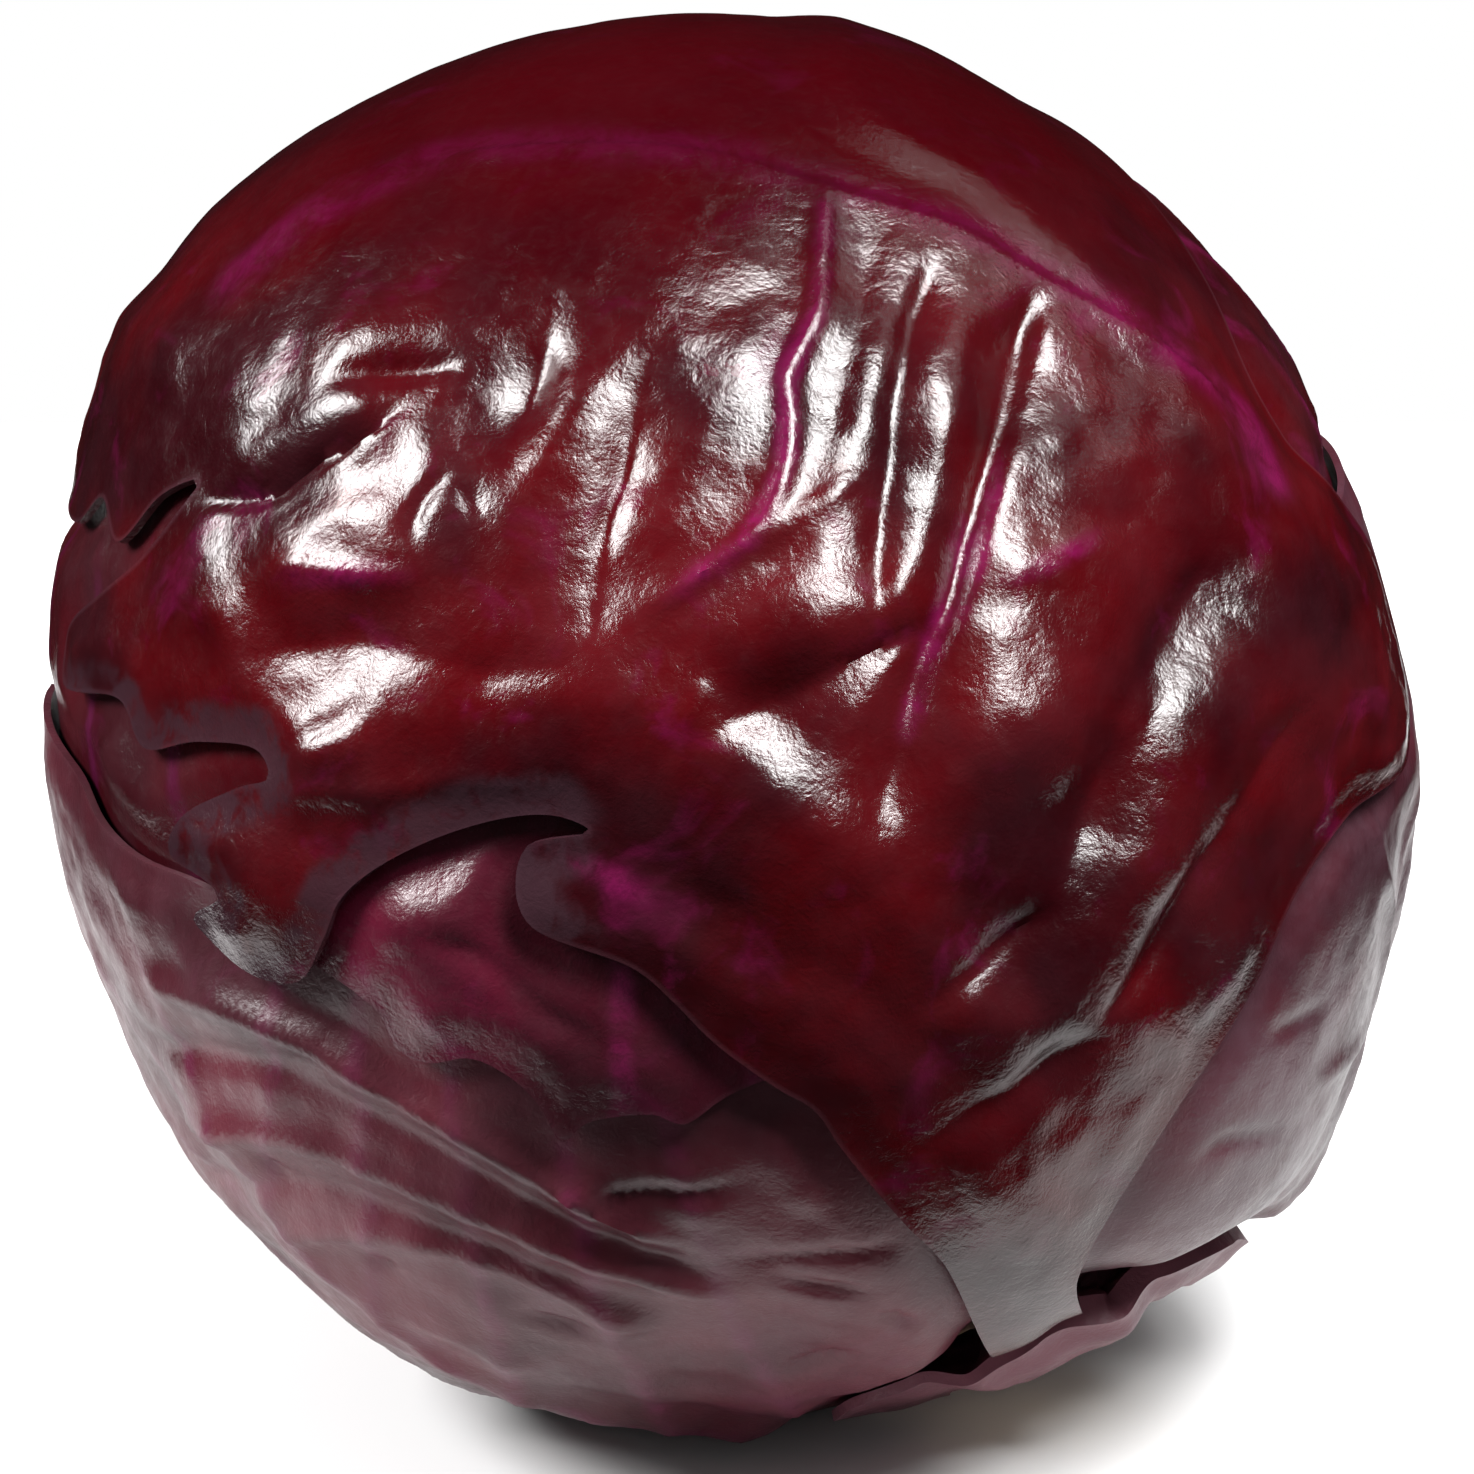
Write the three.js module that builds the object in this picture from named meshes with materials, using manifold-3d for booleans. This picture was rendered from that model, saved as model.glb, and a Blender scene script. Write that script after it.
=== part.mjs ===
// A red cabbage head: a dense ball of inner leaves on a short cut stem, with eight wrapper
// leaves lying over one another around it. Millimetres, +Z up, the photographed side towards -Y.
import * as THREE from 'three';
import Module from 'manifold-3d';
import { mergeVertices } from 'three/addons/utils/BufferGeometryUtils.js';

// Driving dimensions, in millimetres
const DEPTH_RADIUS = 69;
const LEAF_GAP = 0.32;
const STEM_GAP = 0.3;
const BLADE = 1.1;
const MARGIN_BLADE = 0.75;
const BASE_BLADE = 1.7;
const STEM_RADIUS = 11.5;
const STEM_ROOT_RADIUS = 8.5;
const STEM_ROOT = 48;
const STEM_END = 66.2;
const STEM_END_TILT = THREE.MathUtils.degToRad(12);
const DIMPLE_DEPTH = 8;
const DIMPLE_LENGTH = 27;
const DIMPLE_WIDTH = 11;
const REST_HEIGHT = 68.9;
const CENTRE = [0.347, 0.616, REST_HEIGHT];
const SOCKET_GAP = 0.4;
const STEM_SIDES = 24;
const HEAD_DETAIL = 9;
const HEAD_SLACK = 1;
const CHART_RADIUS = 72;

// The head's outline as it is seen from the front: radii every 22.5 degrees, clockwise from the top
const OUTLINE_RADII = [
  71, 69.3, 67.3, 66, 67, 68.6, 72.3, 71.2, 68.6, 70.7, 68.8, 68.1, 69.2, 70.7, 73.1, 72.1,
];

// The front view: its height above the horizon and how far off the viewer stands
const VIEW_TILT = THREE.MathUtils.degToRad(15);
const VIEW_DISTANCE = 700;
const OUTLINE_TURN = THREE.MathUtils.degToRad(84);
const RIGHT = new THREE.Vector3(1, 0, 0);
const UPWARD = new THREE.Vector3(0, Math.sin(VIEW_TILT), Math.cos(VIEW_TILT));
const TOWARDS = new THREE.Vector3(0, -Math.cos(VIEW_TILT), Math.sin(VIEW_TILT));

// The cut stem points down and to the right, square to the view, 151 degrees round the clock
const STEM_CLOCK = THREE.MathUtils.degToRad(151);
const STEM_AXIS = aim(STEM_CLOCK, Math.PI / 2);
const STEM_EAST = new THREE.Vector3().crossVectors(TOWARDS, STEM_AXIS).normalize();

const clamp = THREE.MathUtils.clamp;
const smooth = (value, low, high) => THREE.MathUtils.smoothstep(value, low, high);

// A direction from the head's centre: clock is clockwise from the top, turn is away from the viewer
function aim(clock, turn) {
  return new THREE.Vector3()
    .addScaledVector(RIGHT, Math.sin(turn) * Math.sin(clock))
    .addScaledVector(UPWARD, Math.sin(turn) * Math.cos(clock))
    .addScaledVector(TOWARDS, Math.cos(turn));
}

function outlineRadius(clock) {
  const count = OUTLINE_RADII.length;
  const turn = (((clock / (2 * Math.PI)) % 1) + 1) % 1;
  const place = turn * count;
  const step = Math.floor(place);
  const share = place - step;
  const at = (shift) => OUTLINE_RADII[(step + shift + count) % count];
  const [before, start, end, after] = [at(-1), at(0), at(1), at(2)];
  const bend = 2 * before - 5 * start + 4 * end - after;
  const twist = 3 * start - before - 3 * end + after;
  return start + 0.5 * share * (end - before + share * (bend + share * twist));
}

// The whole head's radius, pulled in around the stem and cut flat where it rests
function wholeRadius(dir) {
  const x = dir.dot(RIGHT);
  const z = dir.dot(UPWARD);
  const across = Math.hypot(x, z) / outlineRadius(Math.atan2(x, z));
  const radius = 1 / Math.hypot(across, dir.dot(TOWARDS) / DEPTH_RADIUS);
  if (dir.dot(STEM_AXIS) < 0) return radius;
  const along = (CHART_RADIUS * dir.dot(TOWARDS)) / DIMPLE_LENGTH;
  const aside = (CHART_RADIUS * dir.dot(STEM_EAST)) / DIMPLE_WIDTH;
  return radius - DIMPLE_DEPTH * Math.exp(-along * along - aside * aside);
}

function restPlane(dir, height) {
  return dir.z < -0.5 ? height / -dir.z : Infinity;
}

// The direction of a point of the front view, x to the right and z up from the head's centre
function front([x, z]) {
  const clock = Math.atan2(x, z);
  const seen = Math.hypot(x, z);
  const shown = (turn) => {
    const radius = wholeRadius(aim(clock, turn));
    return (radius * Math.sin(turn) * VIEW_DISTANCE) / (VIEW_DISTANCE - radius * Math.cos(turn));
  };
  let near = 0;
  let far = OUTLINE_TURN;
  while (far - near > 1e-6) {
    const middle = (near + far) / 2;
    if (shown(middle) < seen) near = middle;
    else far = middle;
  }
  return aim(clock, near);
}

// The direction of a point past the front view's outline, in degrees
function behind([clock, turn]) {
  return aim(THREE.MathUtils.degToRad(clock), THREE.MathUtils.degToRad(turn));
}

// The direction of a point round the stem: its bearing in degrees and its arc from the stem
function nearStem([bearing, arc]) {
  const angle = arc / CHART_RADIUS;
  const heading = THREE.MathUtils.degToRad(bearing);
  return STEM_AXIS.clone().multiplyScalar(Math.cos(angle))
    .addScaledVector(TOWARDS, Math.sin(angle) * Math.cos(heading))
    .addScaledVector(STEM_EAST, Math.sin(angle) * Math.sin(heading));
}

// A flat chart of the head round one direction, with v pointing away from the stem
class Chart {
  constructor(middle) {
    this.out = middle.clone().normalize();
    this.east = new THREE.Vector3().crossVectors(this.out, STEM_AXIS).normalize();
    this.north = new THREE.Vector3().crossVectors(this.out, this.east).normalize();
  }

  flat(dir) {
    const angle = Math.acos(clamp(dir.dot(this.out), -1, 1));
    const u = dir.dot(this.east);
    const v = dir.dot(this.north);
    const scale = (CHART_RADIUS * angle) / Math.max(1e-9, Math.hypot(u, v));
    return new THREE.Vector2(u * scale, v * scale);
  }

  dir(point) {
    const arc = point.length();
    const angle = arc / CHART_RADIUS;
    const scale = Math.sin(angle) / Math.max(1e-9, arc);
    return this.out.clone().multiplyScalar(Math.cos(angle))
      .addScaledVector(this.east, point.x * scale)
      .addScaledVector(this.north, point.y * scale);
  }
}

// How far a flat point lies inside an outline, negative outside it
function inside(outline, point) {
  let nearest = Infinity;
  let within = false;
  for (let i = 0, j = outline.length - 1; i < outline.length; j = i, i += 1) {
    const [start, end] = [outline[j], outline[i]];
    nearest = Math.min(nearest, toSegment(point, start, end));
    const crosses = start.y > point.y !== end.y > point.y;
    const reach = start.x + ((point.y - start.y) / (end.y - start.y)) * (end.x - start.x);
    if (crosses && point.x < reach) within = !within;
  }
  return within ? nearest : -nearest;
}

function toSegment(point, start, end) {
  const dx = end.x - start.x;
  const dy = end.y - start.y;
  const share = ((point.x - start.x) * dx + (point.y - start.y) * dy) / (dx * dx + dy * dy);
  const held = clamp(share, 0, 1);
  return Math.hypot(point.x - start.x - held * dx, point.y - start.y - held * dy);
}

// How far a flat point lies from a vein
function toLine(point, line) {
  let nearest = Infinity;
  for (let i = 1; i < line.length; i += 1) {
    nearest = Math.min(nearest, toSegment(point, line[i - 1], line[i]));
  }
  return nearest;
}

// Points on a smooth line through the given ones, no further apart than the spacing
function spaced(points, spacing, closed) {
  const curve = new THREE.CatmullRomCurve3(
    points.map((point) => new THREE.Vector3(point.x, point.y, 0)), closed, 'centripetal');
  const spans = closed ? points.length : points.length - 1;
  const result = [];
  for (let i = 0; i < spans; i += 1) {
    const end = points[(i + 1) % points.length];
    const pieces = Math.max(1, Math.round(points[i].distanceTo(end) / spacing));
    for (let k = 0; k < pieces; k += 1) {
      const place = curve.getPoint((i + k / pieces) / spans);
      result.push(new THREE.Vector2(place.x, place.y));
    }
  }
  if (!closed) result.push(points[points.length - 1].clone());
  return result;
}

// Delaunay triangles of flat points, each anticlockwise
function delaunay(points) {
  const far = 5000;
  const all = [...points, new THREE.Vector2(-far, -far), new THREE.Vector2(far, -far),
    new THREE.Vector2(0, far)];
  const count = points.length;
  let triangles = [circled(all, count, count + 1, count + 2)];
  for (let index = 0; index < count; index += 1) {
    const point = all[index];
    const edges = new Map();
    const kept = [];
    for (const triangle of triangles) {
      if (Math.hypot(point.x - triangle.x, point.y - triangle.y) > triangle.radius) {
        kept.push(triangle);
        continue;
      }
      triangle.corners.forEach((start, i) => {
        const end = triangle.corners[(i + 1) % 3];
        if (!edges.delete(`${end},${start}`)) edges.set(`${start},${end}`, [start, end]);
      });
    }
    for (const [start, end] of edges.values()) kept.push(circled(all, start, end, index));
    triangles = kept;
  }
  return triangles.map((triangle) => triangle.corners)
    .filter((corners) => corners.every((corner) => corner < count));
}

function circled(points, a, b, c) {
  const [p, q, r] = [points[a], points[b], points[c]];
  const [qx, qy, rx, ry] = [q.x - p.x, q.y - p.y, r.x - p.x, r.y - p.y];
  const double = 2 * (qx * ry - qy * rx);
  const x = (ry * (qx * qx + qy * qy) - qy * (rx * rx + ry * ry)) / double;
  const y = (qx * (rx * rx + ry * ry) - rx * (qx * qx + qy * qy)) / double;
  return { corners: [a, b, c], x: p.x + x, y: p.y + y, radius: Math.hypot(x, y) };
}

// A leaf's outline filled with triangles: a three-cornered grid inside it, and its veins' own points
function filled(outline, veins, grain) {
  const box = new THREE.Box2().setFromPoints(outline);
  const rim = outline.map((point) => point.clone());
  const keep = [];
  const clear = (point, gap) => keep.every((other) => other.distanceTo(point) > gap);
  for (const vein of veins) {
    for (const point of spaced(vein, grain, false)) {
      if (inside(outline, point) > 0.6 * grain && clear(point, 0.6 * grain)) keep.push(point);
    }
  }
  const row = (grain * Math.sqrt(3)) / 2;
  for (let j = 0; box.min.y + j * row < box.max.y; j += 1) {
    for (let x = box.min.x + ((j % 2) * grain) / 2; x < box.max.x; x += grain) {
      const point = new THREE.Vector2(x, box.min.y + j * row);
      if (inside(outline, point) > 0.5 * grain && clear(point, 0.65 * grain)) keep.push(point);
    }
  }
  for (let round = 0; round < 5; round += 1) {
    const points = [...rim, ...keep];
    const triangles = delaunay(points);
    const edges = new Set(triangles.flatMap(([a, b, c]) =>
      [`${a},${b}`, `${b},${c}`, `${c},${a}`, `${b},${a}`, `${c},${b}`, `${a},${c}`]));
    const missing = rim.map((_, i) => i).filter((i) => !edges.has(`${i},${(i + 1) % rim.length}`));
    if (missing.length === 0) {
      return { points, triangles: triangles.filter((corners) => within(rim, points, corners)) };
    }
    for (const i of missing.reverse()) {
      rim.splice(i + 1, 0, rim[i].clone().lerp(rim[(i + 1) % rim.length], 0.5));
    }
  }
  throw new Error('an outline has a slit that is too narrow for its spacing');
}

function within(rim, points, corners) {
  const middle = new THREE.Vector2();
  for (const corner of corners) middle.addScaledVector(points[corner], 1 / 3);
  return inside(rim, middle) > 0;
}

// The wrapper leaves, from the innermost to the outermost. Outlines are traced in the front view
// where they show there, and run on behind it or in to the stem where they don't.
const LEAVES = [
  {
    name: 'leaf_left',
    colour: 0x4a070f,
    grain: 7.5,
    outline: [
      ...[[290, 17], [308, 17], [325, 17]].map(nearStem),
      ...[[12, -52], [-12, -40], [-36, -20], [-43, 2], [-50, 20], [-57, 33]].map(front),
      ...[[300, 100], [294, 118], [278, 128], [258, 124], [243, 108], [236, 92]].map(behind),
      ...[[-40, -52], [-20, -62], [2, -66]].map(front),
    ],
    base: [308, 15],
    tip: behind([286, 112]),
    pairs: 4,
    quilt: 0.4,
    curl: 0,
  },
  {
    name: 'leaf_back',
    colour: 0x5a1a2c,
    grain: 7.5,
    outline: [
      ...[[150, 17], [182, 17], [212, 17]].map(nearStem),
      ...[[190, 120], [212, 122], [236, 114], [258, 106], [278, 100], [300, 96], [322, 96]].map(behind),
      ...[[343, 100], [2, 104], [14, 116], [20, 136], [50, 160], [150, 162], [152, 128]].map(behind),
    ],
    base: [182, 16],
    tip: behind([352, 108]),
    pairs: 6,
    quilt: 0.5,
    curl: 0,
  },
  {
    name: 'leaf_right_back',
    colour: 0x5c1526,
    grain: 7.5,
    outline: [
      ...[[92, 17], [117, 17], [142, 17]].map(nearStem),
      ...[[146, 128], [134, 148], [100, 160], [62, 156], [36, 148], [16, 132], [6, 112]].map(behind),
      ...[[16, 62], [30, 53], [42, 40], [51, 25], [58, 6]].map(front),
      ...[[94, 92], [112, 96]].map(behind),
    ],
    base: [115, 16],
    tip: behind([18, 108]),
    pairs: 5,
    quilt: 0.5,
    curl: 0.3,
  },
  {
    name: 'leaf_lower_left',
    colour: 0x6b3b45,
    grain: 6.2,
    outline: [
      ...[[215, 16], [240, 15.5], [270, 15.5], [305, 15.5], [345, 16]].map(nearStem),
      ...[[20, -48], [4, -33], [-16, -24], [-36, -23], [-50, -18]].map(front),
      ...[[-55.5, -15], [-60.5, -12.5], [-64, -9], [-66.5, -4]].map(front),
      ...[[274, 94], [270, 110], [252, 124], [226, 132], [200, 134], [180, 128], [166, 116]].map(behind),
    ],
    base: [275, 15],
    tip: front([-62, -16]),
    pairs: 5,
    quilt: 0.7,
    curl: 0.3,
  },
  {
    name: 'leaf_right',
    colour: 0x5e4850,
    grain: 6.2,
    outline: [
      ...[[8, 16], [40, 15], [72, 13.5], [104, 14], [128, 17]].map(nearStem),
      ...[[146, 124], [132, 134], [104, 138], [82, 134], [66, 118], [62, 98]].map(behind),
      ...[[58, 16], [52, 2], [44, -14], [36, -28], [29, -42]].map(front),
    ],
    base: [82, 16],
    tip: behind([86, 118]),
    pairs: 5,
    quilt: 0.5,
    curl: 0.3,
  },
  {
    name: 'leaf_under_lobe',
    colour: 0x4e1f38,
    grain: 5.6,
    outline: [
      ...[[346, 17], [357, 17]].map(nearStem),
      ...[[24, -44], [16, -26], [0, -10], [-18, -1], [-36, -6], [-45, -14], [-45, -21]].map(front),
      ...[[-38, -26], [-35.5, -28], [-34, -31.5], [-31, -33], [-26.5, -32.5], [-22.5, -34.5]].map(front),
      ...[[-19.5, -37.5], [-17.5, -41], [-15, -39], [-8, -38], [-5.5, -39], [-1, -36.5]].map(front),
      ...[[5, -35], [14, -42], [22, -50]].map(front),
    ],
    base: [352, 17],
    tip: front([-36, -22]),
    pairs: 4,
    quilt: 0.7,
    curl: 0.4,
  },
  {
    name: 'leaf_front',
    colour: 0x5a0614,
    grain: 5.2,
    outline: [
      ...[[4, 17], [342, 17]].map(nearStem),
      ...[[20, -51.5], [16.5, -48], [12.5, -43.5], [10, -40.5], [7.5, -37], [4, -35]].map(front),
      ...[[-2.5, -30.5], [-6, -27], [-10, -23.5], [-20.5, -19], [-22, -15], [-21, -11.5]].map(front),
      ...[[-14.5, -10], [-17.5, -8.5], [-22.5, -8.5], [-32, -11.5], [-38.5, -16], [-40.5, -20.5]].map(front),
      ...[[-43, -24.5], [-49, -23], [-54, -18.5], [-50.5, -16], [-56, -12], [-55, -8.5]].map(front),
      ...[[-49.5, -5.5], [-46, -4.5], [-47.5, -2], [-54, -1], [-59.5, -1.5], [-61.5, 3]].map(front),
      ...[[-67, 5], [-67, 10], [-63.5, 14], [-59.5, 17.5], [-53.5, 25], [-57.5, 23.5]].map(front),
      ...[[-62, 19], [-63.5, 23.5], [-66, 21]].map(front),
      ...[[291, 92], [294, 106], [308, 118], [326, 124], [346, 120], [6, 110], [20, 96]].map(behind),
      ...[[34.5, 61], [42, 52.5], [47, 45], [52, 34], [57.5, 25.5], [64, 16.5]].map(front),
      ...[[66.5, 6], [66, -3], [61, -8.5], [56, -16], [52, -25], [43.5, -38.5]].map(front),
      ...[[37.5, -47.5], [33, -53]].map(front),
    ],
    ribs: [
      [0.9, 2.6, [[9, 55], [8, 41.5], [5, 34.5], [5, 26.5], [1, 19], [-3.5, 15.5], [-10.5, 10.5]]],
      [-1.3, 3.2, [[13, 52], [12, 40], [10, 32], [9, 23]]],
      [-1.2, 2.6, [[20, 48], [16.5, 36.5], [15.5, 28], [14, 17], [13, 8]]],
      [-2.2, 3.6, [[29.5, 44.5], [26.5, 31], [22.5, 17], [19, 8], [17, -0.5], [12, -12]]],
      [-1.3, 3, [[21.5, 12.5], [13, 7.5], [5.5, 3.5], [-6, -2]]],
      [0.8, 3, [[27.5, 32], [24, 18], [20.5, 6]]],
      [0.9, 3, [[23, 13.5], [32.5, 17.5], [38, 21]]],
      [-1.4, 3.4, [[48, 20], [42.5, 8], [36.5, -4.5], [31, -18]]],
      [-1.3, 3.2, [[-8, 44], [-11, 26.5], [-14, 14], [-14, 2]]],
      [-1.4, 3, [[-17, 48], [-19, 39.5], [-22, 29.5], [-20, 18], [-14, 6]]],
      [-1.6, 2.4, [[-41.5, 33], [-36, 35], [-28.5, 36], [-25.5, 33]]],
      [-1.7, 2.6, [[-56, 21.5], [-46.5, 23], [-38.5, 27.5], [-31, 32.5]]],
      [1, 2.6, [[-47.5, 14.5], [-36, 15.5], [-28, 15]]],
      [-1.4, 3, [[-50, 7], [-38, 9], [-26, 6], [-14, 6]]],
      [0.9, 3, [[-21, -11.5], [-13.5, -14], [-5.5, -19]]],
      [-1, 3, [[16.5, -41.5], [29, -34], [37.5, -29.5]]],
      [-0.9, 3, [[16.5, -28.5], [28, -20], [33.5, -16]]],
      [-1, 3, [[34.5, -29.5], [41, -22.5], [49, -8.5], [56, 4]]],
    ],
    quilt: 1.9,
    curl: 0.7,
  },
  {
    name: 'leaf_base',
    colour: 0x9c7478,
    grain: 4.2,
    thick: 1.4,
    outline: [
      ...[[262, 15], [290, 14.5], [320, 14], [350, 14], [20, 14], [55, 14], [92, 15]].map(nearStem),
      ...[[82, 19], [45, 20], [15, 21], [345, 23], [312, 26], [285, 25], [268, 20]].map(nearStem),
    ],
    quilt: 0,
    curl: 0.5,
  },
];

// Where a leaf's blade ends, the next leaf up lies on it for a while and then slopes down
const SHELF = 4;
const SLOPE = 8;
const SETTLE = 14;
const RIB_RISE = 3.2;
const RIB_WIDTH = 4.5;
const VEIN_RISE = 2;
const VEIN_WIDTH = 3.4;
const QUILT_WIDTH = 6.5;

// A midrib from the stem to the tip, with curved side veins left and right in turn
function fan({ chart, base, tip, pairs }) {
  const start = chart.flat(nearStem(base));
  const end = chart.flat(tip);
  const length = start.distanceTo(end);
  const along = end.clone().sub(start).normalize();
  const aside = new THREE.Vector2(-along.y, along.x);
  const ribs = [{ rise: RIB_RISE, width: RIB_WIDTH, line: [start, end] }];
  for (let i = 0; i < 2 * pairs; i += 1) {
    const hand = i % 2 ? 1 : -1;
    const root = start.clone().lerp(end, 0.12 + (0.72 * i) / (2 * pairs));
    const reach = length * (0.62 - (0.36 * i) / (2 * pairs));
    const line = [0, 0.33, 0.67, 1].map((share) => root.clone()
      .addScaledVector(along, reach * (0.45 * share + 0.4 * share * share))
      .addScaledVector(aside, hand * reach * 0.85 * share));
    ribs.push({ rise: VEIN_RISE, width: VEIN_WIDTH, line });
  }
  return ribs;
}

function prepare(leaf) {
  const middle = new THREE.Vector3();
  for (const dir of leaf.outline) middle.add(dir);
  leaf.chart = new Chart(middle);
  leaf.rim = spaced(leaf.outline.map((dir) => leaf.chart.flat(dir)), leaf.grain, true);
  if (leaf.ribs) {
    leaf.ribs = leaf.ribs.map(([rise, width, line]) => (
      { rise, width, line: line.map((point) => leaf.chart.flat(front(point))) }));
  } else {
    leaf.ribs = leaf.base ? fan(leaf) : [];
  }
  if (THREE.ShapeUtils.isClockWise(leaf.rim)) leaf.rim.reverse();
}

LEAVES.forEach(prepare);

function depthIn(leaf, dir) {
  return inside(leaf.rim, leaf.chart.flat(dir));
}

function thickness(leaf, dir, depth) {
  const fromStem = CHART_RADIUS * dir.angleTo(STEM_AXIS);
  const base = (BASE_BLADE - BLADE) * (1 - smooth(fromStem, 15, 42));
  const collar = (leaf.thick ?? 0) * (1 - smooth(fromStem, 14, 26));
  return MARGIN_BLADE + (BLADE - MARGIN_BLADE) * smooth(depth, 0, 6) + base + collar;
}

// The leaves stand a little further apart where they bend in to the stem
function gap(dir) {
  return LEAF_GAP + STEM_GAP * (1 - smooth(CHART_RADIUS * dir.angleTo(STEM_AXIS), 22, 45));
}

// How far the margin lifts off the leaf below
function lift(leaf, depth) {
  return leaf.curl * (1 - smooth(depth, 0, 7));
}

// The blade's own ridges, valleys and the swelling between its veins
function relief(leaf, dir, flat, depth) {
  const fromStem = CHART_RADIUS * dir.angleTo(STEM_AXIS);
  const taper = leaf.base ? 1 - 0.7 * smooth(fromStem, 15, 150) : 1;
  let height = 0;
  let nearest = Infinity;
  for (const { rise, width, line } of leaf.ribs) {
    const away = toLine(flat, line);
    height += rise * taper * Math.exp(-((away / width) ** 2));
    nearest = Math.min(nearest, away);
  }
  height += leaf.quilt * (1 - Math.exp(-((nearest / QUILT_WIDTH) ** 2)));
  return Math.max(0, height) * smooth(depth, 0, 6) * smooth(fromStem, 14, 30);
}

// How much of a place on one level is hidden under the leaves above it
function hidden(level, dir) {
  let most = 0;
  for (const leaf of LEAVES.slice(level + 1)) {
    most = Math.max(most, smooth(depthIn(leaf, dir), -7, -1.5));
  }
  return most;
}

function headRadius(dir) {
  const fromStem = CHART_RADIUS * dir.angleTo(STEM_AXIS);
  const settled = SETTLE * smooth(fromStem, 10, 45);
  let radius = wholeRadius(dir);
  for (const leaf of LEAVES) {
    const share = smooth(depthIn(leaf, dir), -SETTLE, settled);
    if (share > 0) radius -= share * (gap(dir) + thickness(leaf, dir, SETTLE));
  }
  return Math.min(radius, restPlane(dir, REST_HEIGHT - 2));
}

// The radius of what the leaf on one level lies on
function under(level, dir) {
  let radius = headRadius(dir);
  LEAVES.slice(0, level).forEach((leaf, below) => {
    const flat = leaf.chart.flat(dir);
    const depth = inside(leaf.rim, flat);
    const lies = smooth(depth, -SHELF - SLOPE, -SHELF);
    if (lies === 0) return;
    const held = Math.max(0, depth);
    const swell = depth > 0 ? relief(leaf, dir, flat, depth) * (1 - hidden(below, dir)) : 0;
    radius += lies * (gap(dir) + thickness(leaf, dir, held) + lift(leaf, held) + swell);
  });
  return radius;
}

function leafGeometry(leaf, level) {
  const { points, triangles } = filled(leaf.rim, leaf.ribs.map((rib) => rib.line), leaf.grain);
  const outer = [];
  const inner = [];
  for (const flat of points) {
    const dir = leaf.chart.dir(flat);
    const depth = Math.max(0, inside(leaf.rim, flat));
    const swell = relief(leaf, dir, flat, depth) * (1 - hidden(level, dir));
    const low = under(level, dir) + gap(dir) + lift(leaf, depth) + 0.8 * swell;
    const high = Math.min(low + 0.2 * swell + thickness(leaf, dir, depth), restPlane(dir, REST_HEIGHT));
    outer.push(dir.clone().multiplyScalar(high));
    inner.push(dir.clone().multiplyScalar(Math.min(low, high - MARGIN_BLADE)));
  }
  const count = points.length;
  const faces = [];
  const edges = new Map();
  for (const [a, b, c] of triangles) {
    faces.push([a, b, c], [count + c, count + b, count + a]);
    for (const [start, end] of [[a, b], [b, c], [c, a]]) {
      if (!edges.delete(`${end},${start}`)) edges.set(`${start},${end}`, [start, end]);
    }
  }
  for (const [start, end] of edges.values()) {
    faces.push([end, start, count + start], [end, count + start, count + end]);
  }
  return solid([...outer, ...inner], faces);
}

function solid(places, faces) {
  const geometry = new THREE.BufferGeometry();
  const positions = places.flatMap((place) => place.toArray());
  geometry.setAttribute('position', new THREE.Float32BufferAttribute(positions, 3));
  geometry.setIndex(faces.flat());
  geometry.computeVertexNormals();
  return geometry;
}

// The ball of inner leaves, with their margins as low steps, and a socket for the stem
const INNER_MARGINS = [
  { across: [0.82, 0.1, 0.56], at: 12, step: 0.6 },
  { across: [-0.6, 0.2, 0.77], at: 26, step: 0.6 },
  { across: [0.1, 0.9, 0.42], at: -8, step: 0.6 },
];

function innerStep(dir) {
  let height = 0;
  for (const { across, at, step } of INNER_MARGINS) {
    const reach = CHART_RADIUS * dir.dot(new THREE.Vector3(...across)) - at;
    height -= step * smooth(reach, -3, 3);
  }
  return height;
}

function headGeometry() {
  const geometry = mergedShape(new THREE.IcosahedronGeometry(1, HEAD_DETAIL));
  const places = geometry.getAttribute('position');
  const dir = new THREE.Vector3();
  for (let i = 0; i < places.count; i += 1) {
    dir.fromBufferAttribute(places, i).normalize();
    const fromStem = CHART_RADIUS * dir.angleTo(STEM_AXIS);
    const slack = HEAD_SLACK * (1 - smooth(fromStem, 22, 45));
    const radius = headRadius(dir) + innerStep(dir) - slack;
    places.setXYZ(i, dir.x * radius, dir.y * radius, dir.z * radius);
  }
  return cut(geometry, stemGeometry(SOCKET_GAP));
}

// The cut stem, widest at the head's skin, with its end sawn a little askew
function stemGeometry(grow) {
  const wide = STEM_RADIUS + grow;
  const profile = [
    [0, STEM_ROOT - grow], [STEM_ROOT_RADIUS + grow, STEM_ROOT - grow], [wide, STEM_ROOT + 13],
    [wide, STEM_END + grow - 0.8], [wide - 0.8, STEM_END + grow], [0, STEM_END + grow],
  ].map(([x, y]) => new THREE.Vector2(x, y));
  const geometry = mergedShape(new THREE.LatheGeometry(profile, STEM_SIDES));
  const places = geometry.getAttribute('position');
  for (let i = 0; i < places.count; i += 1) {
    if (places.getY(i) > STEM_ROOT + 14) {
      places.setY(i, places.getY(i) + places.getX(i) * Math.tan(STEM_END_TILT));
    }
  }
  const turn = new THREE.Matrix4()
    .makeBasis(STEM_EAST, STEM_AXIS, new THREE.Vector3().crossVectors(STEM_EAST, STEM_AXIS));
  return geometry.applyMatrix4(turn);
}

function mergedShape(geometry) {
  geometry.deleteAttribute('normal');
  geometry.deleteAttribute('uv');
  return mergeVertices(geometry, 1e-4);
}

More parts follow.
